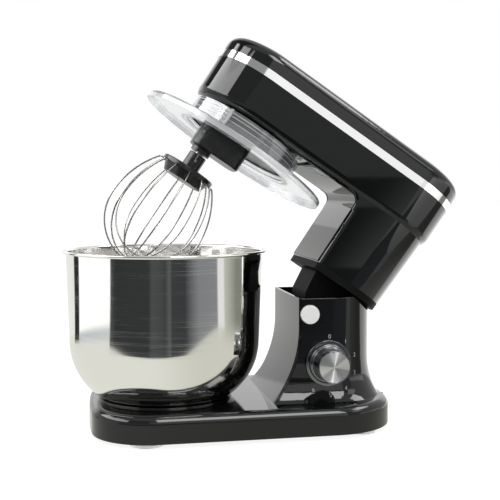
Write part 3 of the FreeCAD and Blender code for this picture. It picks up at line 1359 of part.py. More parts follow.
def button_spring():
    """Coil spring round the plunger, seated on the guide, wound in short straight runs."""
    radius = PLUNGER_RADIUS + FIT_GAP * 2 + SPRING_WIRE_RADIUS
    height = SPRING_PITCH * SPRING_TURNS
    count = round(SPRING_TURNS * SPRING_RUNS)
    points = []
    for i in range(count + 1):
        angle = 2 * math.pi * i / SPRING_RUNS
        points.append(V(radius * math.cos(angle), radius * math.sin(angle), height * i / count))
    section = Part.Wire(Part.makeCircle(SPRING_WIRE_RADIUS, points[0], points[1] - points[0]))
    coil = Part.makePolygon(points).makePipeShell([section], True, False, 1)
    coil.rotate(V(0, 0, 0), X_DIR, -90)
    coil.translate(V(BUTTON_X, guide_span()[0] - height - SPRING_WIRE_RADIUS, BUTTON_Z))
    return coil


def control_board():
    """Circuit board on posts, with its larger components."""
    x = behind(BOARD_BEHIND)
    low = PLATE_TOP_Z + BOARD_RISE
    half_x, half_y = BOARD_LENGTH / 2, BOARD_WIDTH / 2
    board = block(x - half_x, x + half_x, -half_y, half_y, low, low + BOARD_THICK)
    inset = 2 * BOARD_POST_RADIUS
    places = [(x + i * (half_x - inset), j * (half_y - inset)) for i in (-1, 1) for j in (-1, 1)]
    posts = [drum(BOARD_POST_RADIUS, PLATE_TOP_Z, low + BOARD_THICK / 2, *place) for place in places]
    can = drum(BOARD_RISE / 2, low, low + 2 * BOARD_RISE, x - half_x / 3, half_y / 3)
    choke = block(x, x + half_x / 2, -half_y / 2, half_y / 4, low, low + CHOKE_HEIGHT)
    return fused(board, *posts, can, choke)


def cord_gland():
    """Flanged bush in the back of the base where a mains cord goes in."""
    rear = behind(BASE_BEHIND)
    outer = GLAND_BORE + GLAND_WALL
    start = V(rear - 3 * BODY_WALL, 0, GLAND_Z)
    body = Part.makeCylinder(outer, 3 * BODY_WALL + GLAND_PROUD, start, X_DIR)
    flange = Part.makeCylinder(outer + GLAND_FLANGE, GLAND_PROUD, V(rear, 0, GLAND_Z), X_DIR)
    return fused(body, flange).cut(Part.makeCylinder(GLAND_BORE, 4 * BODY_WALL + GLAND_PROUD, start, X_DIR))


def standing_pieces():
    """Pieces of the base, bowl and controls, by node name."""
    nodes = {
        "base_housing": base_housing(),
        "bottom_plate": bottom_plate(),
        "bottom_screws": bottom_screws(),
        "hinge_pin": hinge_pin(),
        "bowl_lock_ring": bowl_lock_ring(),
        "bowl": bowl(),
        "bowl_foot": bowl_foot(),
        "knob_bezel": knob_bezel(),
        "speed_knob": speed_knob(),
        "knob_face": knob_face(),
        "speed_switch": speed_switch(),
        "release_button": release_button(),
        "button_guide": button_guide(),
        "button_spring": button_spring(),
        "control_board": control_board(),
        "cord_gland": cord_gland(),
    }
    for name, (x, y) in foot_places().items():
        nodes[name] = suction_foot(x, y)
    return nodes


def head_pieces():
    """Pieces that tilt with the head, drawn closed, by node name."""
    nodes = {
        "head_shell": head_shell(),
        "underside_panel": underside_panel(),
        "trim_band": trim_band(),
        "top_cover": top_cover(),
        "hinge_bracket": hinge_bracket(),
        "hinge_bushes": hinge_bushes(),
        "drive_collar": drive_collar(),
        "ring_gear": ring_gear(),
        "gear_case_floor": gear_case_floor(),
        "gear_case_bridge": gear_case_bridge(),
        "shaft_bushes": shaft_bushes(),
        "drive_belt": drive_belt(),
        "motor_end_lower": motor_end_lower(),
        "motor_can": motor_can(),
        "stator_core": stator_core(),
        "motor_brushes": motor_brushes(),
        "motor_shaft": motor_shaft(),
        "rotor_core": rotor_core(),
        "commutator": commutator(),
        "cooling_fan": cooling_fan(),
        "motor_pulley": belt_pulley(MOTOR_PULLEY_RADIUS, MOTOR_SHAFT_RADIUS, MOTOR_X),
        "layshaft": layshaft(),
        "belt_pulley": belt_pulley(BIG_PULLEY_RADIUS, LAYSHAFT_RADIUS, LAYSHAFT_X),
        "main_shaft": main_shaft(),
        "main_gear": main_gear(),
        "planet_carrier": planet_carrier(),
        "carrier_bushes": carrier_bushes(),
        "output_shaft": output_shaft(),
        "planet_pinion": planet_pinion(),
        "cross_pin": cross_pin(),
        "whisk_hub": whisk_hub(),
        "whisk_cap": whisk_cap(),
        "splash_guard": splash_guard(),
    }
    for index in range(WHISK_LOOPS):
        nodes[f"whisk_wire_{index + 1}"] = whisk_wire(index)
    return nodes


def main():
    """Writes every piece in the raised pose."""
    nodes = standing_pieces()
    for name, shape in head_pieces().items():
        nodes[name] = raised(shape)
    os.makedirs("parts", exist_ok=True)
    for name, shape in nodes.items():
        print(name, "solids", len(shape.Solids), "valid", shape.isValid(), "volume", round(shape.Volume))
        shape.exportStep(f"parts/{name}.step")


if __name__ == "__main__":
    main()
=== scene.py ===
"""Looks and studio stage for a tilt-head stand mixer, laid out as an add-on."""

import json
import math

import bmesh
import bpy
import numpy as np
from mathutils import Matrix, Vector


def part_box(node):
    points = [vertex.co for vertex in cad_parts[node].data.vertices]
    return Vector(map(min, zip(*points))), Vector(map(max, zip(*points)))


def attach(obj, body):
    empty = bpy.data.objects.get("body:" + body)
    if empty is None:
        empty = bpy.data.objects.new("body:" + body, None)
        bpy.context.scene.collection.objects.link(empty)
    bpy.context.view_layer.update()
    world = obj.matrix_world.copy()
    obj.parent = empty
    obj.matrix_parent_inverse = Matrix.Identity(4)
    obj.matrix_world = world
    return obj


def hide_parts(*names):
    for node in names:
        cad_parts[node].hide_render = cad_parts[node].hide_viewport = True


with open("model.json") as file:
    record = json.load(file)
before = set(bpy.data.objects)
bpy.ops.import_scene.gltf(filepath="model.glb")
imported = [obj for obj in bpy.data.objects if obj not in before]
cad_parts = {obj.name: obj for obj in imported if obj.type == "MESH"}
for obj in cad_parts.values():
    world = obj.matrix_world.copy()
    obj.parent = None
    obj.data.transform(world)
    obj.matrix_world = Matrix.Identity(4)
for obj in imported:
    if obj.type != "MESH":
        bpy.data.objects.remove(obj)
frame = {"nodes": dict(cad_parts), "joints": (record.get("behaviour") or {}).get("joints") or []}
NODES = frame["nodes"]
JOINTS = {joint["name"]: joint for joint in frame["joints"]}
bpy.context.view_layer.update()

bl_info = {
    "name": "Stand mixer looks",
    "version": (1, 0, 0),
    "blender": (4, 5, 0),
    "location": "3D View > Sidebar > Mixer",
    "description": "Dresses the packed stand mixer and builds its studio stage",
    "category": "Object",
}

MM = 0.001
# The head's rise from level, and the places of its hinge, the bowl's axis and the knob in millimetres
HEAD_TILT = math.radians(34.0)
HINGE = np.array(JOINTS["head_tilt"]["pos_m"]) / MM
BOWL_X = JOINTS["bowl_turn"]["pos_m"][0] / MM
KNOB = np.array(JOINTS["speed_turn"]["pos_m"]) / MM
# The dial's digits: how many, the angle between two, and the share of the font's size that one is high
DIGITS = 7
DIGIT_STEP = math.radians(36.0)
DIGIT_SHARE = 0.7
# Their print: how much thinner than the font, as a share of their height, and its half thickness and how far
# it stands proud of the column, in millimetres
PRINT_THINNER = 0.012
PRINT_HALF = 0.04
PRINT_PROUD = 0.12

# Level directions towards the camera and towards its right
TO_CAMERA = (-0.097, -0.995)
TO_RIGHT = (0.995, -0.097)
# A limit that leaves a band of the floor open outwards, in metres
FAR = 50.0
# Tones of the studio's dark end on the floor, by the share of the way to the camera's right
STUDIO_END = (
    (-0.9, "505253"), (-0.82, "343637"), (-0.3, "363839"), (-0.24, "4e5051"),
    (-0.06, "484a4b"), (0.0, "404243"), (0.09, "5e6062"), (0.13, "3e4042"),
    (0.37, "3c3e40"), (0.48, "66686b"), (0.6, "84868a"), (0.9, "8a8c90"),
)
# Level of the surroundings in reflections where no panel lies
SURROUNDINGS = 0.8
# Panels that reflections find round the table, later rows over earlier ones: a level, the softness of its
# edges, and limits of a direction's parts: near (to the camera), right, height, and sloped (height and a
# share of right). A limit past the end of a part's range leaves the band open there
PANELS = (
    (0.5, 0.02, {"near": (0.47, 2), "height": (-1, 0.62)}),
    (1.2, 0.012, {"near": (0, 2), "right": (-0.5, 0.6), "height": (-1, 0.45), "sloped": (0.292, 3)}),
    (0.34, 0.012, {"near": (0.38, 2), "right": (-2, -0.06), "height": (0.30, 0.78)}),
    (0.10, 0.012, {"near": (-2, -0.1), "right": (-2, -0.3), "height": (0.45, 2)}),
    (0.90, 0.012, {"near": (-2, -0.75), "height": (-1, 0.10)}),
    (6.0, 0.012, {"near": (-0.6, 0.64), "right": (-2, 0), "height": (0.42, 0.69)}),
    (6.0, 0.012, {"near": (-0.09, 0.42), "right": (-2, 0), "height": (0.69, 0.74)}),
    (9.0, 0.012, {"near": (0, 2), "right": (0.14, 0.62), "height": (0.52, 0.86)}),
    (2.4, 0.012, {"near": (0.33, 0.62), "right": (0, 2), "height": (0.45, 0.68)}),
    (8.0, 0.012, {"near": (-0.45, 0.35), "right": (0.6, 2), "height": (0.68, 0.84)}),
    (1.8, 0.012, {"near": (-0.25, 0.5), "right": (0, 2), "height": (0.0, 0.12)}),
    (1.3, 0.012, {"near": (-2, -0.75), "height": (0.10, 0.36)}),
)
# How much the sloping edge of a panel rises to the left
PANEL_SLOPE = 0.69
# What reflections find on the floor, in the same way: reach is the distance from the bowl's axis, and past
# the distance beyond the pale table's edge, in metres. A third number is a band's own softness
FLOOR_TONES = (
    ("c4cacf", 0.012, {"near": (-0.40, 0.47), "right": (-2, 0), "reach": (0.54, 0.64, 0.03)}),
    (1.25, 0.012, {"near": (-0.40, 0.47), "right": (-2, 0), "reach": (0.62, FAR, 0.03)}),
    ("2c2e2e", 0.015, {"near": (-0.59, -0.40), "right": (-2, 0), "reach": (0.55, FAR)}),
    (STUDIO_END, 0.012, {"near": (0.47, 2), "past": (0, FAR)}),
    (0.85, 0.02, {"near": (0.36, 0.50), "right": (0, 2), "reach": (0.6, FAR)}),
    (1.8, 0.02, {"near": (-2, -0.14), "right": (0.2, 2), "reach": (0.4, FAR)}),
    ("f2f3f0", 0.015, {"near": (-2, -0.59), "right": (-2, 0.6), "reach": (0.62, FAR)}),
    (1.0, 0.05, {"right": (0.45, 2), "reach": (2.2, FAR)}),
)
# The pale table's edge: its distance from the bowl's axis, and what right and right squared add to it
TABLE_EDGE = (0.38, 0.07, 0.22)
# The table's tones to the right and to the left, and the shade on its right
TABLE_TONES = ("d6d7cd", "e9eae4")
TABLE_SHADE = "868880"
# Half the side of the floor
FLOOR_REACH = 12.0
# The card's corners: its height keeps it out of the bowl's reflections, its slant off the head's flat side
CARD = ((0.63, -0.9, 0.162), (1.1, -0.9, 0.162), (1.1, -0.1, 0.162), (0.17, -0.1, 0.162))
# Lamps: name, place, size and power; and what they aim at
LAMPS = (("key_lamp", (-1.1, -0.9, 1.9), 1.2, 22.0), ("back_lamp", (0.9, 1.1, 1.6), 1.0, 10.0))
LAMP_AIM = (0, 0, 0.2)

# Painted highlights of the dial's spun face: light and grey wedge tones painted into its colour round a turn,
# counted from the rear side upwards
PAINTED_WEDGE_TONES = (
    (0.0, "ffffff"), (0.085, "ffffff"), (0.115, "cacacb"), (0.19, "cececf"), (0.22, "ffffff"),
    (0.25, "b8b8b9"), (0.4, "b0b0b1"), (0.46, "c6c6c7"), (0.49, "ffffff"), (0.575, "ffffff"),
    (0.62, "c6c6c7"), (0.7, "c4c4c5"), (0.725, "ffffff"), (0.75, "b6b6b7"), (0.9, "acacad"),
    (0.95, "c0c0c1"), (0.975, "ffffff"),
)
# Share of light that the guard's clear wall lets through, and what milky haze takes from it: a painted
# highlight at its rim and ribs, a faint real haze at its neck
GUARD_CLEAR = 0.97
GUARD_HAZE_AND_HIGHLIGHTS = {"rim": 0.26, "neck": 0.05, "ribs": 0.3}
# Width of the guard's rim band of painted highlight, and how far the painted highlight on its ribs goes out
# from its neck, in millimetres
GUARD_RIM = 4.0
GUARD_RIBS = 3.4
# Painted highlight lines round the guard's neck, drawn as bands of milky haze: height above its joint and
# width in millimetres, and haze
NECK_HIGHLIGHT_LINES = ((5.5, 0.7, 0.25), (9.0, 5.0, 0.06), (14.5, 0.8, 0.35), (19.5, 0.7, 0.28), (23.0, 0.7, 0.4))
# Rays that the rounding of a material's edges is worked out from
EDGE_SAMPLES = 6
# Finishes of inner pieces: name, colour, metallic, lowest and highest roughness, grain in mm, nodes
INNER_FINISHES = (
    # Ground steel: a grey metal with soft, short glints
    ("ground_steel", "9a9a9a", 1.0, 0.18, 0.32, 1.5,
     ("bottom_screws", "hinge_pin", "button_spring", "motor_shaft", "layshaft", "main_shaft", "output_shaft",
      "planet_pinion", "cross_pin")),
    # Sintered bronze: dull brown metal with a sandy grain
    ("sintered_bronze", "9a7646", 1.0, 0.35, 0.55, 0.6, ("hinge_bushes", "shaft_bushes", "carrier_bushes")),
    # Die-cast alloy: pale grey metal, matt from its mould
    ("die_cast_alloy", "a8aaac", 1.0, 0.4, 0.6, 0.8,
     ("gear_case_floor", "gear_case_bridge", "motor_end_lower", "motor_pulley")),
    # Natural acetal: an ivory plastic with a waxy sheen
    ("natural_acetal", "e2ddcc", 0.0, 0.35, 0.5, 0.8,
     ("ring_gear", "main_gear", "belt_pulley", "cooling_fan")),
    # Stacked steel sheets: dark grey metal with a fine grain
    ("laminated_steel", "6c6e70", 1.0, 0.35, 0.5, 0.7, ("motor_can", "stator_core", "rotor_core")),
    # Turned copper: a warm metal polished by the brushes
    ("copper_segments", "b87a50", 1.0, 0.25, 0.4, 0.7, ("commutator",)),
    # Pressed carbon: dull, nearly black
    ("pressed_carbon", "222222", 0.0, 0.6, 0.8, 0.5, ("motor_brushes",)),
    # Belt rubber: dull black
    ("belt_rubber", "1c1c1c", 0.0, 0.55, 0.75, 0.8, ("drive_belt",)),
    # Glass fibre board: dark green lacquer
    ("glass_fibre_board", "1d5a35", 0.0, 0.35, 0.5, 1.0, ("control_board",)),
)


def linear(code):
    """sRGB hex to linear RGB: the low end is a straight line and the rest a power of 2.4."""
    channels = [int(code[i:i + 2], 16) / 255 for i in (0, 2, 4)]
    return tuple(c / 12.92 if c <= 0.04045 else ((c + 0.055) / 1.055) ** 2.4 for c in channels)


def length(name, description, default):
    """A length property in metres."""
    return bpy.props.FloatProperty(
        name=name, description=description, default=default, unit="LENGTH", precision=5)


def colour(name, description, code):
    """A colour property from a hex code."""
    return bpy.props.FloatVectorProperty(
        name=name, description=description, default=linear(code), subtype="COLOR", min=0, max=1)


class MixerSizes(bpy.types.PropertyGroup):
    """Sizes of the pieces that are drawn here."""

    bowl_wall: length("Bowl wall radius", "Radius of the bowl's wall just under its lip", 0.1045)
    bowl_taper: length("Bowl taper", "How much narrower the wall is at its foot", 0.0054)
    bowl_corner: length("Bowl corner", "Radius of the curve between wall and bottom", 0.072)
    bowl_sheet: length("Bowl sheet", "Thickness of the steel", 0.0012)
    bowl_lip: length("Bowl lip", "Thickness of the rolled lip", 0.0026)
    guard_neck: length("Guard neck", "Outer radius of the splash guard's neck", 0.0656)
    skin_start: length("Underside start", "From the whisk's axis back to the skin's start", 0.07)
    skin_neck: length("Underside neck", "From the whisk's axis back to the skin on the neck", 0.1307)
    skin_level: length("Underside level", "Height of the skin under the arm when the head is down", 0.2294)
    skin_thick: length("Underside skin", "Thickness of the skin", 0.0012)
    skin_bend: length("Underside bend", "Radius of the skin's bend", 0.009)
    arm_half: length("Arm half width", "Half width of the skin under the arm", 0.0525)
    neck_half: length("Neck half width", "Half width of the skin on the neck", 0.0552)
    dial_edge: length("Dial edge", "Width of the rim round the dial's spun face", 0.0007)
    digit_height: length("Digit height", "Height of the dial's digits", 0.0046)
    dial_offset: length("Dial offset", "How far behind the knob the digits' circle is centred", 0.002)
    dial_drop: length("Dial drop", "How far below the knob the digits' circle is centred", 0.003)
    dial_radius: length("Dial radius", "Radius of the circle the digits stand on", 0.0305)


class MixerColours(bpy.types.PropertyGroup):
    """Colours of the finishes and of the floor."""

    gloss_black: colour("Gloss black", "Moulded housing", "0e1010")
    satin_black: colour("Satin black", "Inner and tool mouldings", "1a1a1a")
    steel: colour("Stainless steel", "Spun bowl", "efeeea")
    wire: colour("Wire", "Whisk wires", "a4a4a2")
    plating: colour("Plating", "Bright trim", "e2e2e2")
    smoked: colour("Smoked chrome", "Bezel and knob", "7a7c7e")
    button: colour("Button silver", "Release button", "fafaf8")
    aluminium: colour("Aluminium", "Dial face", "fafafa")
    clear: colour("Clear plastic", "Splash guard", "f6f8fa")
    rubber: colour("Clear rubber", "Suction feet", "f4f4f0")
    print_white: colour("Print white", "Dial digits", "c8c8c8")
    floor_seen: colour("Floor in view", "Floor as the camera sees it, besides its own glow", "959595")
    floor_light: colour("Floor in light", "Floor as it lights the mixer", "e7e7e7")


def add(tree, kind, links=(), **settings):
    """Adds a node, sets its properties and inputs by name, and links outputs into its inputs."""
    node = tree.nodes.new(kind)
    for key, value in settings.items():
        if key.startswith("in_"):
            name = key[3:]
            node.inputs[int(name) if name.isdigit() else name.replace("_", " ")].default_value = value
        else:
            setattr(node, key, value)
    for socket, target in links:
        tree.links.new(socket, node.inputs[target])
    return node


def finish(name, base, **sockets):
    """A new Principled material: constants go straight onto the shader's sockets."""
    material = bpy.data.materials.new(name)
    material.use_nodes = True
    shader = material.node_tree.nodes["Principled BSDF"]
    shader.inputs["Base Color"].default_value = (*base, 1)
    for key, value in sockets.items():
        shader.inputs[key.replace("_", " ")].default_value = value
    return material, material.node_tree, shader


def band_mask(tree, value, low, high, soft):
    """1 where a value lies between two limits, with soft edges: a rise minus a later rise."""
    rise = add(tree, "ShaderNodeMapRange", [(value, "Value")], interpolation_type="SMOOTHSTEP",
               in_From_Min=low - soft, in_From_Max=low + soft)
    fall = add(tree, "ShaderNodeMapRange", [(value, "Value")], interpolation_type="SMOOTHSTEP",
               in_From_Min=high - soft, in_From_Max=high + soft)
    return add(tree, "ShaderNodeMath", [(rise.outputs[0], 0), (fall.outputs[0], 1)],
               operation="SUBTRACT").outputs[0]


def panel(tree, parts, bands, soft):
    """Mask of a panel: the product of bands of named parts, each with the panel's softness or its own."""
    mask = None
    for name, (low, high, *own) in bands.items():
        band = band_mask(tree, parts[name], low, high, own[0] if own else soft)
        mask = band if mask is None else add(
            tree, "ShaderNodeMath", [(mask, 0), (band, 1)], operation="MULTIPLY").outputs[0]
    return mask


def lay_over(tree, mask, below, above):
    """One tone laid over another where a mask is 1; a tone is a hex code, a grey level or a socket."""
    mix = add(tree, "ShaderNodeMix", [(mask, "Factor")], data_type="RGBA")
    for name, value in (("A", below), ("B", above)):
        socket = next(i for i in mix.inputs if i.name == name and i.type == "RGBA")
        if isinstance(value, str):
            socket.default_value = (*linear(value), 1)
        elif isinstance(value, float):
            socket.default_value = (value, value, value, 1)
        else:
            tree.links.new(value, socket)
    return next(o for o in mix.outputs if o.type == "RGBA")


def tones_by(tree, value, low, high, tones):
    """Tones given as places between two limits and hex codes, looked up by a value."""
    share = add(tree, "ShaderNodeMapRange", [(value, "Value")], in_From_Min=low, in_From_Max=high)
    node = add(tree, "ShaderNodeValToRGB", [(share.outputs[0], "Fac")])
    stops = node.color_ramp.elements
    first, last = stops[0], stops[1]
    first.position, first.color = (tones[0][0] - low) / (high - low), (*linear(tones[0][1]), 1)
    last.position, last.color = (tones[-1][0] - low) / (high - low), (*linear(tones[-1][1]), 1)
    for place, code in tones[1:-1]:
        stop = stops.new((place - low) / (high - low))
        stop.color = (*linear(code), 1)
    return node.outputs["Color"]


def object_grain(tree, size_mm, detail=3.0):
    """An even grain about size_mm across, fixed to the piece.

    The grain of tools, paint and machining is finer than the picture can hold, so it is drawn coarser.
    """
    place = add(tree, "ShaderNodeTexCoord").outputs["Object"]
    return add(tree, "ShaderNodeTexNoise", [(place, "Vector")], in_Scale=1 / (size_mm * MM),
               in_Detail=detail).outputs["Fac"]


def turned_grain(tree, rounds, apart_mm, detail):
    """A grain of long lines round a turned piece: rounds cells to a turn, and lines apart_mm apart."""
    place = add(tree, "ShaderNodeUVMap", uv_map="turned").outputs["UV"]
    lines = add(tree, "ShaderNodeMapping", [(place, "Vector")], in_Scale=(rounds, 1 / (apart_mm * MM), 1.0))
    return add(tree, "ShaderNodeTexNoise", [(lines.outputs["Vector"], "Vector")], in_Scale=1.0,
               in_Detail=detail).outputs["Fac"]


def stretch_along_turn(tree, shader):
    """Stretches a metal's highlight across the lines that run round a turned piece."""
    way = add(tree, "ShaderNodeTangent", direction_type="UV_MAP", uv_map="turned")
    tree.links.new(way.outputs["Tangent"], shader.inputs["Tangent"])


def roughen(tree, shader, grain, low, high):
    """Roughness that runs from low to high with a grain."""
    span = add(tree, "ShaderNodeMapRange", [(grain, "Value")], in_To_Min=low, in_To_Max=high)
    tree.links.new(span.outputs["Result"], shader.inputs["Roughness"])


def relief(tree, shader, height, depth_mm, strength, normal=None):
    """Bump of a real depth on a shader's normal, over another normal if one is given."""
    links = [(height, "Height")] + ([(normal, "Normal")] if normal else [])
    bump = add(tree, "ShaderNodeBump", links, in_Strength=strength, in_Distance=depth_mm * MM)
    tree.links.new(bump.outputs["Normal"], shader.inputs["Normal"])


def gloss_black_abs(colours, edge_mm=0.0):
    """Moulded ABS from a polished tool: deep black with a clear reflection and faint flow waves.

    A radius in millimetres also rounds the piece's sharp edges, so that they catch the lights.
    """
    name = "gloss_black_ABS_soft_edges" if edge_mm else "gloss_black_ABS"
    material, tree, shader = finish(name, colours.gloss_black, IOR=1.48)
    roughen(tree, shader, object_grain(tree, 30), 0.015, 0.05)
    normal = None
    if edge_mm:
        edges = add(tree, "ShaderNodeBevel", samples=EDGE_SAMPLES, in_Radius=edge_mm * MM)
        normal = edges.outputs["Normal"]
    relief(tree, shader, object_grain(tree, 40, detail=0.0), 0.02, 0.15, normal)
    return material


def satin_black_nylon(colours):
    """Moulded nylon from a spark-eroded tool: satin black with a fine even grain."""
    material, tree, shader = finish("satin_black_nylon", colours.satin_black, IOR=1.53)
    grain = object_grain(tree, 0.9)
    roughen(tree, shader, grain, 0.22, 0.36)
    relief(tree, shader, grain, 0.03, 0.3)
    return material


def textured_black_nylon(colours):
    """Moulded nylon from an etched tool: a dull black with a coarse leather-like grain."""
    material, tree, shader = finish(
        "textured_black_nylon", colours.satin_black, IOR=1.4, Specular_IOR_Level=0.04)
    grain = object_grain(tree, 1.2)
    roughen(tree, shader, grain, 0.45, 0.6)
    relief(tree, shader, grain, 0.05, 0.4)
    return material


def brushed_stainless(colours):
    """Spun steel polished with an abrasive belt as it turned: fine lines run round the bowl.

    Real lines are under 0.1 mm wide; they are drawn 0.7 mm apart so that the picture can hold them.
    """
    material, tree, shader = finish(
        "brushed_stainless_steel", colours.steel, Metallic=1.0, Anisotropic=0.5, Anisotropic_Rotation=0.25)
    lines = add(tree, "ShaderNodeMapRange", [(turned_grain(tree, 6.0, 0.7, 4.0), "Value")],
                interpolation_type="SMOOTHSTEP", in_From_Min=0.5, in_From_Max=0.75,
                in_To_Min=0.06, in_To_Max=0.24)
    tree.links.new(lines.outputs["Result"], shader.inputs["Roughness"])
    stretch_along_turn(tree, shader)
    return material


def spun_aluminium(colours):
    """Aluminium faced on a lathe, with a painted highlight: light and grey wedges, where its rings would
    throw the light, are painted into its colour round the turn.

    Real rings are finer; they are drawn 0.4 mm apart so that the picture can hold them.
    """
    material, tree, shader = finish(
        "spun_aluminium", colours.aluminium, Metallic=1.0, Anisotropic=0.92, Anisotropic_Rotation=0.25)
    roughen(tree, shader, turned_grain(tree, 1.0, 0.4, 3.0), 0.6, 0.72)
    place = add(tree, "ShaderNodeUVMap", uv_map="turned").outputs["UV"]
    turn = add(tree, "ShaderNodeSeparateXYZ", [(place, 0)]).outputs["X"]
    # Painted highlight: the light and grey wedges go into the base colour round the turn
    wedges = tones_by(tree, turn, 0.0, 1.0, PAINTED_WEDGE_TONES)
    tinted = add(tree, "ShaderNodeVectorMath", [(wedges, 0)], operation="MULTIPLY",
                 in_1=tuple(colours.aluminium))
    tree.links.new(tinted.outputs["Vector"], shader.inputs["Base Color"])
    stretch_along_turn(tree, shader)
    return material


def drawn_wire(colours):
    """Stainless wire pulled through a die: bright, with a faint unevenness."""
    material, tree, shader = finish("drawn_stainless_wire", colours.wire, Metallic=1.0)
    roughen(tree, shader, object_grain(tree, 1.2), 0.12, 0.26)
    return material


def bright_plating(colours):
    """Nickel-chrome on moulded plastic: mirror bright, softened a little by handling."""
    material, tree, shader = finish("bright_chrome_plating", colours.plating, Metallic=1.0)
    roughen(tree, shader, object_grain(tree, 18), 0.04, 0.12)
    return material


def black_chrome(colours):
    """Smoked chrome on moulded plastic: a dark mirror whose round edges catch the lights."""
    material, tree, shader = finish("black_chrome_plating", colours.smoked, Metallic=1.0)
    roughen(tree, shader, object_grain(tree, 12), 0.05, 0.12)
    edges = add(tree, "ShaderNodeBevel", samples=EDGE_SAMPLES, in_Radius=0.8 * MM)
    tree.links.new(edges.outputs["Normal"], shader.inputs["Normal"])
    return material


def satin_silver(colours):
    """Silver paint under a satin lacquer: pale, with a very fine sparkle."""
    material, tree, shader = finish("satin_silver_paint", colours.button, Metallic=0.05, IOR=1.5)
    grain = object_grain(tree, 0.5)
    roughen(tree, shader, grain, 0.34, 0.46)
    relief(tree, shader, grain, 0.01, 0.3)
    return material


def clear_polycarbonate(colours, neck, rim):
    """Clear moulded polycarbonate: see-through with faint flow waves and a faint haze on its neck.

    A painted highlight, drawn as milky haze, lies on its rim, on its ribs and in lines round its neck.
    """
    material, tree, shader = finish("clear_polycarbonate", colours.clear, IOR=1.58, Roughness=0.02)
    axis = tuple(JOINTS["guard_turn"]["axis"])
    place = add(tree, "ShaderNodeTexCoord").outputs["Object"]
    spot = add(tree, "ShaderNodeVectorMath", [(place, 0)], operation="SUBTRACT",
               in_1=tuple(JOINTS["guard_turn"]["pos_m"])).outputs["Vector"]
    across = add(tree, "ShaderNodeVectorMath", [(spot, 0)], operation="CROSS_PRODUCT", in_1=axis)
    reach = add(tree, "ShaderNodeVectorMath", [(across.outputs["Vector"], 0)], operation="LENGTH")
    rise = add(tree, "ShaderNodeVectorMath", [(spot, 0)], operation="DOT_PRODUCT", in_1=axis)
    parts = {"reach": reach.outputs["Value"], "rise": rise.outputs["Value"]}
    soft, line_soft = 0.3 * MM, 0.2 * MM
    wall = (0.0, neck + soft)
    # Painted highlights: milky haze at the rim, on the ribs and in lines round the neck stands in for bright
    # edges; the neck's own faint haze is real
    haze_and_highlight_bands = [({"reach": (rim - GUARD_RIM * MM, 1.0)}, GUARD_HAZE_AND_HIGHLIGHTS["rim"]),
             ({"reach": wall}, GUARD_HAZE_AND_HIGHLIGHTS["neck"]),
             ({"reach": (neck + soft, neck + GUARD_RIBS * MM)}, GUARD_HAZE_AND_HIGHLIGHTS["ribs"])]
    haze_and_highlight_bands += [({"reach": wall, "rise": (height * MM, (height + width) * MM, line_soft)}, haze)
              for height, width, haze in NECK_HIGHLIGHT_LINES]
    clear = None
    for bands, haze in haze_and_highlight_bands:
        links = [(panel(tree, parts, bands, soft), 0)] + ([(clear, 2)] if clear else [])
        clear = add(tree, "ShaderNodeMath", links, operation="MULTIPLY_ADD", in_1=-haze,
                    in_2=GUARD_CLEAR).outputs[0]
    tree.links.new(clear, shader.inputs["Transmission Weight"])
    relief(tree, shader, object_grain(tree, 20, detail=1.0), 0.03, 0.2)
    return material


def clear_rubber(colours):
    """Clear soft PVC: the pale table shows through it, blurred by its dusty skin."""
    material, tree, shader = finish("clear_soft_PVC", colours.rubber, IOR=1.53, Transmission_Weight=0.8)
    roughen(tree, shader, object_grain(tree, 4), 0.4, 0.6)
    return material


def machine_finish(name, base, metallic, low, high, grain_mm):
    """A plain finish: one colour broken up by a fine grain in its roughness and relief."""
    material, tree, shader = finish(name, base, Metallic=metallic)
    grain = object_grain(tree, grain_mm)
    roughen(tree, shader, grain, low, high)
    relief(tree, shader, grain, 0.03, 0.3)
    return material


def dress(material, *names):
    """Puts a material on every slot of CAD nodes."""
    for name in names:
        data = NODES[name].data
        data.materials.clear()
        data.materials.append(material)


def ring_faces(rows, columns):
    """Quads of a grid with rows along v and columns along u, its last column joined to the first."""
    v, u = np.meshgrid(np.arange(rows - 1), np.arange(columns), indexing="ij")
    here = v * columns + u
    beside = v * columns + (u + 1) % columns
    return np.stack([here, beside, beside + columns, here + columns], -1).reshape(-1, 4)


def piece(name, points, material, body, uv_name=None):
    """A smooth mesh from a grid of points in millimetres, its doubles merged and its faces turned outwards.

    Its UV is the share of the way round a row and the metres along the first column.
    """
    rows, columns = points.shape[:2]
    faces = ring_faces(rows, columns)
    mesh = bpy.data.meshes.new(name)
    mesh.from_pydata((points.reshape(-1, 3) * MM).tolist(), [], faces.tolist())
    if uv_name:
        v, u = np.divmod(np.arange(len(faces)), columns)
        run = np.linalg.norm(np.diff(points[:, 0], axis=0), axis=-1)
        metres = np.concatenate([[0.0], np.cumsum(run)]) * MM
        uv = np.stack([(u[:, None] + [0, 1, 1, 0]) / columns, metres[v[:, None] + [0, 0, 1, 1]]], -1)
        layer = mesh.uv_layers.new(name=uv_name)
        layer.data.foreach_set("uv", uv.astype(np.float32).ravel())
    work = bmesh.new()
    work.from_mesh(mesh)
    bmesh.ops.remove_doubles(work, verts=work.verts, dist=1e-7)
    bmesh.ops.recalc_face_normals(work, faces=work.faces)
    work.to_mesh(mesh)
    work.free()
    mesh.shade_smooth()
    mesh.materials.append(material)
    made = bpy.data.objects.new(name, mesh)
    bpy.context.scene.collection.objects.link(made)
    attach(made, body)
    return made


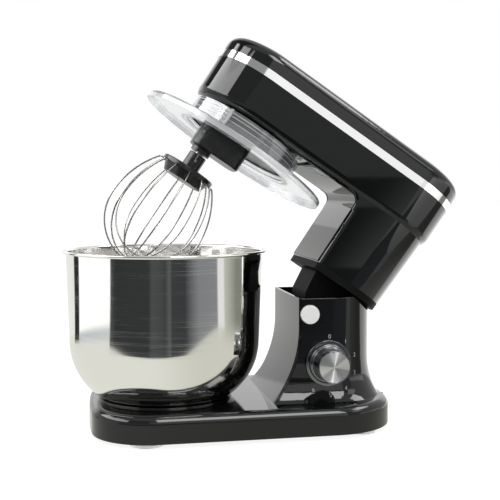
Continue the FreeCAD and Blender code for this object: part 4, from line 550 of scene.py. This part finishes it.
def rounded(corners, closed=False, step=8):
    """Outline through corners (a, b, radius): straight runs joined by tangent arcs of step + 1 points."""
    out = []
    count = len(corners)
    for i, (a, b, radius) in enumerate(corners):
        here = np.array([a, b])
        if radius == 0 or (not closed and i in (0, count - 1)):
            out.append(here[None])
            continue
        back = np.array(corners[i - 1][:2]) - here
        on = np.array(corners[(i + 1) % count][:2]) - here
        back, on = back / np.linalg.norm(back), on / np.linalg.norm(on)
        half = math.acos(np.clip(back @ on, -1, 1)) / 2
        middle = (back + on) / np.linalg.norm(back + on)
        centre = here + middle * radius / math.sin(half)
        start = here + back * radius / math.tan(half) - centre
        end = here + on * radius / math.tan(half) - centre
        sweep = math.atan2(start[0] * end[1] - start[1] * end[0], start @ end)
        turn = np.linspace(0, sweep, step + 1)
        arc = np.stack([start[0] * np.cos(turn) - start[1] * np.sin(turn),
                        start[0] * np.sin(turn) + start[1] * np.cos(turn)], -1)
        out.append(centre + arc)
    return np.concatenate(out)


def turned(profile, count, x=0.0):
    """Profile points (radius, height) carried round an upright axis at x."""
    angle = np.linspace(0, 2 * math.pi, count, endpoint=False)
    radius, height = profile[:, :1], profile[:, 1:]
    return np.stack([x + radius * np.cos(angle), radius * np.sin(angle),
                     np.broadcast_to(height, (len(profile), count))], -1)


def turned_level(profile, count, x, z):
    """Profile points (radius, y) carried round an axis along Y at x, z."""
    ring = turned(profile, count)
    return np.stack([x + ring[..., 0], ring[..., 2], z + ring[..., 1]], -1)


def tilted(points):
    """Points of the level head, in millimetres, carried to its raised pose by a turn about the hinge."""
    c, s = math.cos(HEAD_TILT), math.sin(HEAD_TILT)
    return (points - HINGE) @ np.array([[c, 0, s], [0, 1, 0], [-s, 0, c]]).T + HINGE


def level_low(name):
    """Lowest height of a head node, in millimetres, once the head is turned down level."""
    data = NODES[name].data
    points = np.empty(3 * len(data.vertices), np.float32)
    data.vertices.foreach_get("co", points)
    points = points.reshape(-1, 3) / MM - HINGE
    return (points[:, 0] * math.sin(HEAD_TILT) + points[:, 2] * math.cos(HEAD_TILT)).min() + HINGE[2]


def bent_skin(path, thick, halves):
    """Closed slab along a path in the side view: a round-edged strip with each end drawn to its middle.

    Its half width runs from the first to the second as the path turns from level to upright.
    """
    step = np.diff(path, axis=0)
    step /= np.linalg.norm(step, axis=1)[:, None]
    way = np.concatenate([step[:1], step[:-1] + step[1:], step[-1:]])
    way /= np.linalg.norm(way, axis=1)[:, None]
    out = np.stack([way[:, 1], -way[:, 0]], -1)
    half, edge = halves[0], thick / 3
    section = rounded([(-half, 0, edge), (-half + thick, 0, 0), (half - thick, 0, 0), (half, 0, edge),
                       (half, thick, edge), (-half, thick, edge)], closed=True, step=4)
    wide = (halves[1] - half) * -out[:, :1] * np.sign(section[:, 0])
    deep = path[:, None, :] - out[:, None, :] * section[:, 1][None, :, None]
    strip = np.stack([deep[..., 0], section[:, 0] + wide, deep[..., 1]], -1)
    ends = [np.broadcast_to(strip[i].mean(0), strip[i].shape)[None] for i in (0, -1)]
    return np.concatenate([ends[0], strip, ends[1]])


def underside_skin(sizes, material):
    """Flush facing over the L-shaped panel behind the guard's neck and down the front of the head's neck."""
    start, neck = BOWL_X + sizes.skin_start / MM, BOWL_X + sizes.skin_neck / MM
    level, bend, thick = (v / MM for v in (sizes.skin_level, sizes.skin_bend, sizes.skin_thick))
    foot = level_low("underside_panel") + thick
    path = rounded([(start, level, 0), (neck - bend - thick, level, 0), (neck, level, bend),
                    (neck, level - bend - thick, 0), (neck, foot, 0)], step=12)
    strip = bent_skin(path, thick, (sizes.arm_half / MM, sizes.neck_half / MM))
    piece("underside_skin", tilted(strip), material, "head")


def column_side(x, z):
    """Place and normal of the column's side at a point of the side view, found by a ray from the front."""
    hit, place, normal, _ = NODES["base_housing"].ray_cast(Vector((x, -1.0, z)), Vector((0, 1, 0)))
    if not hit:
        raise RuntimeError("no column side behind a dial digit")
    return place, normal


def digit(text, height, place, normal, material):
    """A printed digit on the column's side: a filled text curve made a mesh, lying on the surface."""
    curve = bpy.data.curves.new("digit", "FONT")
    curve.body = text
    curve.size = height / DIGIT_SHARE
    curve.align_x = "CENTER"
    curve.align_y = "CENTER"
    curve.offset = -PRINT_THINNER * height
    curve.extrude = PRINT_HALF * MM
    drawn = bpy.data.objects.new("digit", curve)
    bpy.context.scene.collection.objects.link(drawn)
    mesh = bpy.data.meshes.new_from_object(drawn.evaluated_get(bpy.context.evaluated_depsgraph_get()))
    bpy.data.objects.remove(drawn)
    up = (Vector((0, 0, 1)) - normal.z * normal).normalized()
    turn = Matrix((up.cross(normal), up, normal)).transposed().to_4x4()
    mesh.transform(Matrix.Translation(place + normal * PRINT_PROUD * MM) @ turn)
    mesh.materials.clear()
    mesh.materials.append(material)
    made = bpy.data.objects.new(f"dial_digit_{text}", mesh)
    bpy.context.scene.collection.objects.link(made)
    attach(made, "base")
    return made


def compass(tree, vector):
    """Level direction of a vector, as its parts towards the camera and towards the camera's right."""
    flat = add(tree, "ShaderNodeVectorMath", [(vector, 0)], operation="MULTIPLY", in_1=(1.0, 1.0, 0.0))
    unit = add(tree, "ShaderNodeVectorMath", [(flat.outputs["Vector"], 0)], operation="NORMALIZE")
    return [add(tree, "ShaderNodeVectorMath", [(unit.outputs["Vector"], 0)], operation="DOT_PRODUCT",
                in_1=(*way, 0.0)).outputs["Value"] for way in (TO_CAMERA, TO_RIGHT)]


def build_camera(scene):
    """Camera a little above the mixer's middle and a little to the left of its side view."""
    data = bpy.data.cameras.new("camera")
    data.sensor_width = 36.0
    data.lens = 68.4
    data.shift_y = -0.039
    data.clip_end = 100.0
    camera = bpy.data.objects.new("camera", data)
    camera.location = (-0.2071, -1.0174, 0.255)
    camera.rotation_euler = (math.radians(87.5), 0, math.radians(-10.7))
    scene.collection.objects.link(camera)
    scene.camera = camera


def build_world(scene):
    """White surroundings; reflections find a dark end with the camera and the panels round the table."""
    world = bpy.data.worlds.new("studio")
    scene.world = world
    world.use_nodes = True
    tree = world.node_tree
    tree.nodes.clear()
    way = add(tree, "ShaderNodeTexCoord").outputs["Generated"]
    height = add(tree, "ShaderNodeSeparateXYZ", [(way, 0)]).outputs["Z"]
    near, right = compass(tree, way)
    sloped = add(tree, "ShaderNodeMath", [(right, 0), (height, 2)], operation="MULTIPLY_ADD",
                 in_1=PANEL_SLOPE).outputs[0]
    parts = {"near": near, "right": right, "height": height, "sloped": sloped}
    tone = SURROUNDINGS
    for level, soft, bands in PANELS:
        tone = lay_over(tree, panel(tree, parts, bands, soft), tone, level)
    path = add(tree, "ShaderNodeLightPath").outputs
    tone = lay_over(tree, path["Is Glossy Ray"], "ffffff", tone)
    bright = add(tree, "ShaderNodeBackground", [(tone, "Color")], in_Strength=1.0)
    dim = add(tree, "ShaderNodeBackground", in_Color=(1, 1, 1, 1), in_Strength=0.55)
    seen = add(tree, "ShaderNodeMath", [(path["Is Camera Ray"], 0), (path["Is Glossy Ray"], 1)],
               operation="MAXIMUM")
    seen = add(tree, "ShaderNodeMath", [(seen.outputs[0], 0), (path["Is Transmission Ray"], 1)],
               operation="MAXIMUM")
    mix = add(tree, "ShaderNodeMixShader",
              [(seen.outputs[0], 0), (dim.outputs[0], 1), (bright.outputs[0], 2)])
    add(tree, "ShaderNodeOutputWorld", [(mix.outputs[0], "Surface")])


def floor_tone(tree):
    """What reflections find on the floor: a pale table, shaded on its right, and the other tones round it."""
    place = add(tree, "ShaderNodeTexCoord").outputs["Object"]
    spot = add(tree, "ShaderNodeVectorMath", [(place, 0)], operation="SUBTRACT",
               in_1=(BOWL_X * MM, 0, 0)).outputs["Vector"]
    near, right = compass(tree, spot)
    reach = add(tree, "ShaderNodeVectorMath", [(spot, 0)], operation="LENGTH").outputs["Value"]
    start, slope, bow = TABLE_EDGE
    edge = add(tree, "ShaderNodeMath", [(right, 0)], operation="MULTIPLY_ADD", in_1=bow, in_2=slope)
    edge = add(tree, "ShaderNodeMath", [(right, 0), (edge.outputs[0], 1)], operation="MULTIPLY_ADD",
               in_2=start)
    past = add(tree, "ShaderNodeMath", [(reach, 0), (edge.outputs[0], 1)], operation="SUBTRACT").outputs[0]
    parts = {"near": near, "right": right, "reach": reach, "past": past}
    tone = lay_over(tree, panel(tree, parts, {"right": (-2, 0.2)}, 0.5), *TABLE_TONES)
    aside = add(tree, "ShaderNodeMapRange", [(near, "Value")], in_From_Min=0.46, in_From_Max=0.05).outputs[0]
    shade = panel(tree, parts, {"right": (0, 2), "past": (-0.1, FAR)}, 0.1)
    shade = add(tree, "ShaderNodeMath", [(aside, 0), (shade, 1)], operation="MULTIPLY").outputs[0]
    tone = lay_over(tree, shade, tone, TABLE_SHADE)
    for patch, soft, bands in FLOOR_TONES:
        if patch is STUDIO_END:
            patch = tones_by(tree, right, -1.0, 1.0, STUDIO_END)
        tone = lay_over(tree, panel(tree, parts, bands, soft), tone, patch)
    return tone


def bare_material(name):
    """A material with an empty node tree."""
    material = bpy.data.materials.new(name)
    material.use_nodes = True
    material.node_tree.nodes.clear()
    return material, material.node_tree


def stage_sheet(scene, name, corners, material):
    """A flat four-cornered piece of the stage."""
    mesh = bpy.data.meshes.new(name)
    mesh.from_pydata(corners, [], [(0, 1, 2, 3)])
    mesh.materials.append(material)
    sheet = bpy.data.objects.new(name, mesh)
    scene.collection.objects.link(sheet)
    return sheet


def build_floor(scene):
    """Pale floor: part of its white is its own, so that the mixer's shadow stays soft on it."""
    colours = scene.mixer_colours
    material, tree = bare_material("pale_floor")
    path = add(tree, "ShaderNodeLightPath").outputs
    paint = add(tree, "ShaderNodeBsdfDiffuse", in_Color=(*colours.floor_seen, 1))
    glow = add(tree, "ShaderNodeEmission", in_Color=(1, 1, 1, 1), in_Strength=0.9)
    both = add(tree, "ShaderNodeAddShader", [(paint.outputs[0], 0), (glow.outputs[0], 1)])
    plain = add(tree, "ShaderNodeBsdfDiffuse", in_Color=(*colours.floor_light, 1))
    mirrored = add(tree, "ShaderNodeEmission", [(floor_tone(tree), "Color")], in_Strength=1.0)
    seen = add(tree, "ShaderNodeMath", [(path["Is Camera Ray"], 0), (path["Is Transmission Ray"], 1)],
               operation="MAXIMUM")
    unseen = add(tree, "ShaderNodeMixShader",
                 [(path["Is Glossy Ray"], 0), (plain.outputs[0], 1), (mirrored.outputs[0], 2)])
    face = add(tree, "ShaderNodeMixShader",
               [(seen.outputs[0], 0), (unseen.outputs[0], 1), (both.outputs[0], 2)])
    add(tree, "ShaderNodeOutputMaterial", [(face.outputs[0], "Surface")])
    corners = [(x * FLOOR_REACH, y * FLOOR_REACH, 0) for x, y in ((-1, -1), (1, -1), (1, 1), (-1, 1))]
    stage_sheet(scene, "floor", corners, material)


def build_card(scene):
    """White card to the right that only reflections find, from above: it greys the head's rear corner."""
    material, tree = bare_material("white_card")
    place = add(tree, "ShaderNodeTexCoord").outputs["Object"]
    depth = add(tree, "ShaderNodeSeparateXYZ", [(place, 0)]).outputs["Y"]
    level = add(tree, "ShaderNodeMapRange", [(depth, "Value")], in_From_Min=-0.1, in_From_Max=-0.6,
                in_To_Min=1.1, in_To_Max=2.6)
    white = add(tree, "ShaderNodeEmission", [(level.outputs[0], "Strength")])
    below = add(tree, "ShaderNodeNewGeometry").outputs["Backfacing"]
    clear = add(tree, "ShaderNodeBsdfTransparent")
    face = add(tree, "ShaderNodeMixShader", [(below, 0), (white.outputs[0], 1), (clear.outputs[0], 2)])
    add(tree, "ShaderNodeOutputMaterial", [(face.outputs[0], "Surface")])
    card = stage_sheet(scene, "card", CARD, material)
    card.visible_camera = False
    card.visible_diffuse = False
    card.visible_transmission = False
    card.visible_shadow = False


def build_lamps(scene):
    """One large soft lamp above and to the left, and a weaker one behind; neither shows in reflections."""
    for name, place, size, power in LAMPS:
        data = bpy.data.lights.new(name, "AREA")
        data.size = size
        data.energy = power
        lamp = bpy.data.objects.new(name, data)
        lamp.location = place
        aim = np.array(LAMP_AIM) - place
        lamp.visible_glossy = False
        lamp.rotation_euler = (math.atan2(np.hypot(aim[0], aim[1]), -aim[2]), 0, math.atan2(-aim[0], aim[1]))
        scene.collection.objects.link(lamp)


class MIXER_OT_stage(bpy.types.Operator):
    """Builds the camera, the white surroundings, the floor, the card and the lamps"""

    bl_idname = "mixer.stage"
    bl_label = "Stage"

    def execute(self, context):
        scene = context.scene
        scene.view_settings.view_transform = "Standard"
        build_camera(scene)
        build_world(scene)
        build_floor(scene)
        build_card(scene)
        build_lamps(scene)
        return {"FINISHED"}


class MIXER_OT_housings(bpy.types.Operator):
    """Gives the black mouldings, the feet and the inner pieces their finishes"""

    bl_idname = "mixer.housings"
    bl_label = "Housings"

    def execute(self, context):
        colours = context.scene.mixer_colours
        plain = gloss_black_abs(colours)
        dress(gloss_black_abs(colours, edge_mm=1.2), "base_housing", "top_cover")
        dress(plain, "head_shell", "underside_panel", "drive_collar")
        underside_skin(context.scene.mixer_sizes, plain)
        dress(satin_black_nylon(colours), "bottom_plate", "bowl_lock_ring", "bowl_foot", "planet_carrier",
              "whisk_hub", "whisk_cap", "speed_switch", "button_guide", "cord_gland")
        dress(textured_black_nylon(colours), "hinge_bracket")
        dress(clear_rubber(colours), "foot_front_right", "foot_front_left", "foot_rear_right",
              "foot_rear_left")
        for name, code, metallic, low, high, grain_mm, nodes in INNER_FINISHES:
            dress(machine_finish(name, linear(code), metallic, low, high, grain_mm), *nodes)
        return {"FINISHED"}


class MIXER_OT_bowl(bpy.types.Operator):
    """Draws the spun steel bowl"""

    bl_idname = "mixer.bowl"
    bl_label = "Bowl"

    def execute(self, context):
        sizes = context.scene.mixer_sizes
        low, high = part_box("bowl")
        wall, taper, corner, sheet, lip = (v / MM for v in (
            sizes.bowl_wall, sizes.bowl_taper, sizes.bowl_corner, sizes.bowl_sheet, sizes.bowl_lip))
        rim, top, bottom = (high.x - low.x) / 2 / MM, high.z / MM, low.z / MM
        roll = 0.45 * lip
        outline = rounded([
            (0, bottom, 0), (wall - taper, bottom, corner), (wall, top - lip, sheet),
            (rim, top - lip, roll), (rim, top, roll), (wall - sheet, top, 2 * sheet),
            (wall - taper - sheet, bottom + sheet, corner - sheet), (0, bottom + sheet, 0)], step=24)
        steel = brushed_stainless(context.scene.mixer_colours)
        made = piece("spun_bowl", turned(outline, 256, BOWL_X), steel, "bowl", uv_name="turned")
        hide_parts("bowl")
        return {"FINISHED"}


class MIXER_OT_whisk(bpy.types.Operator):
    """Gives the whisk's wires their finish"""

    bl_idname = "mixer.whisk"
    bl_label = "Whisk"

    def execute(self, context):
        dress(drawn_wire(context.scene.mixer_colours), *(n for n in NODES if n.startswith("whisk_wire")))
        return {"FINISHED"}


class MIXER_OT_guard(bpy.types.Operator):
    """Gives the splash guard its finish"""

    bl_idname = "mixer.guard"
    bl_label = "Splash guard"

    def execute(self, context):
        low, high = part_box("splash_guard")
        rim = (high.y - low.y) / 2
        neck = context.scene.mixer_sizes.guard_neck
        dress(clear_polycarbonate(context.scene.mixer_colours, neck, rim), "splash_guard")
        return {"FINISHED"}


class MIXER_OT_controls(bpy.types.Operator):
    """Dresses the dial, the knob, the button and the plated band"""

    bl_idname = "mixer.controls"
    bl_label = "Controls"

    def execute(self, context):
        colours, sizes = context.scene.mixer_colours, context.scene.mixer_sizes
        dress(bright_plating(colours), "trim_band")
        dress(black_chrome(colours), "knob_bezel", "speed_knob")
        dress(satin_silver(colours), "release_button")
        low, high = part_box("knob_face")
        radius, front, back = (high.x - low.x) / 2 / MM, low.y / MM, high.y / MM
        edge = sizes.dial_edge / MM
        face = rounded([(0, front + edge / 2, 0), (radius - 2 * edge, front + edge / 2, 0),
                        (radius - edge, front, 0), (radius, front, edge / 2), (radius, back, 0),
                        (0, back, 0)])
        disc = turned_level(face, 128, KNOB[0], KNOB[2])
        made = piece("spun_dial", disc, spun_aluminium(colours), "knob", uv_name="turned")
        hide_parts("knob_face")
        ink = machine_finish("pad_print_ink", colours.print_white, 0.0, 0.4, 0.6, 0.6)
        for i in range(DIGITS):
            angle = math.pi / 2 - DIGIT_STEP * i
            x = KNOB[0] * MM + sizes.dial_offset + sizes.dial_radius * math.cos(angle)
            z = KNOB[2] * MM - sizes.dial_drop + sizes.dial_radius * math.sin(angle)
            digit(str(i), sizes.digit_height, *column_side(x, z), ink)
        return {"FINISHED"}


class MIXER_PT_panel(bpy.types.Panel):
    """Lists the mixer's pieces in the sidebar"""

    bl_idname = "MIXER_PT_panel"
    bl_label = "Stand mixer"
    bl_space_type = "VIEW_3D"
    bl_region_type = "UI"
    bl_category = "Mixer"

    def draw(self, context):
        for operator in OPERATORS:
            self.layout.operator(operator.bl_idname)


OPERATORS = (MIXER_OT_stage, MIXER_OT_housings, MIXER_OT_bowl, MIXER_OT_whisk, MIXER_OT_guard,
             MIXER_OT_controls)
CLASSES = (MixerSizes, MixerColours, *OPERATORS, MIXER_PT_panel)


def register():
    """Registers the classes and hangs the properties on the scene."""
    for item in CLASSES:
        bpy.utils.register_class(item)
    bpy.types.Scene.mixer_sizes = bpy.props.PointerProperty(type=MixerSizes)
    bpy.types.Scene.mixer_colours = bpy.props.PointerProperty(type=MixerColours)


def unregister():
    """Removes the properties and the classes."""
    del bpy.types.Scene.mixer_colours
    del bpy.types.Scene.mixer_sizes
    for item in reversed(CLASSES):
        bpy.utils.unregister_class(item)


def main():
    """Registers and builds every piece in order."""
    register()
    for operator in OPERATORS:
        area, name = operator.bl_idname.split(".")
        getattr(getattr(bpy.ops, area), name)()


if __name__ == "__main__":
    main()
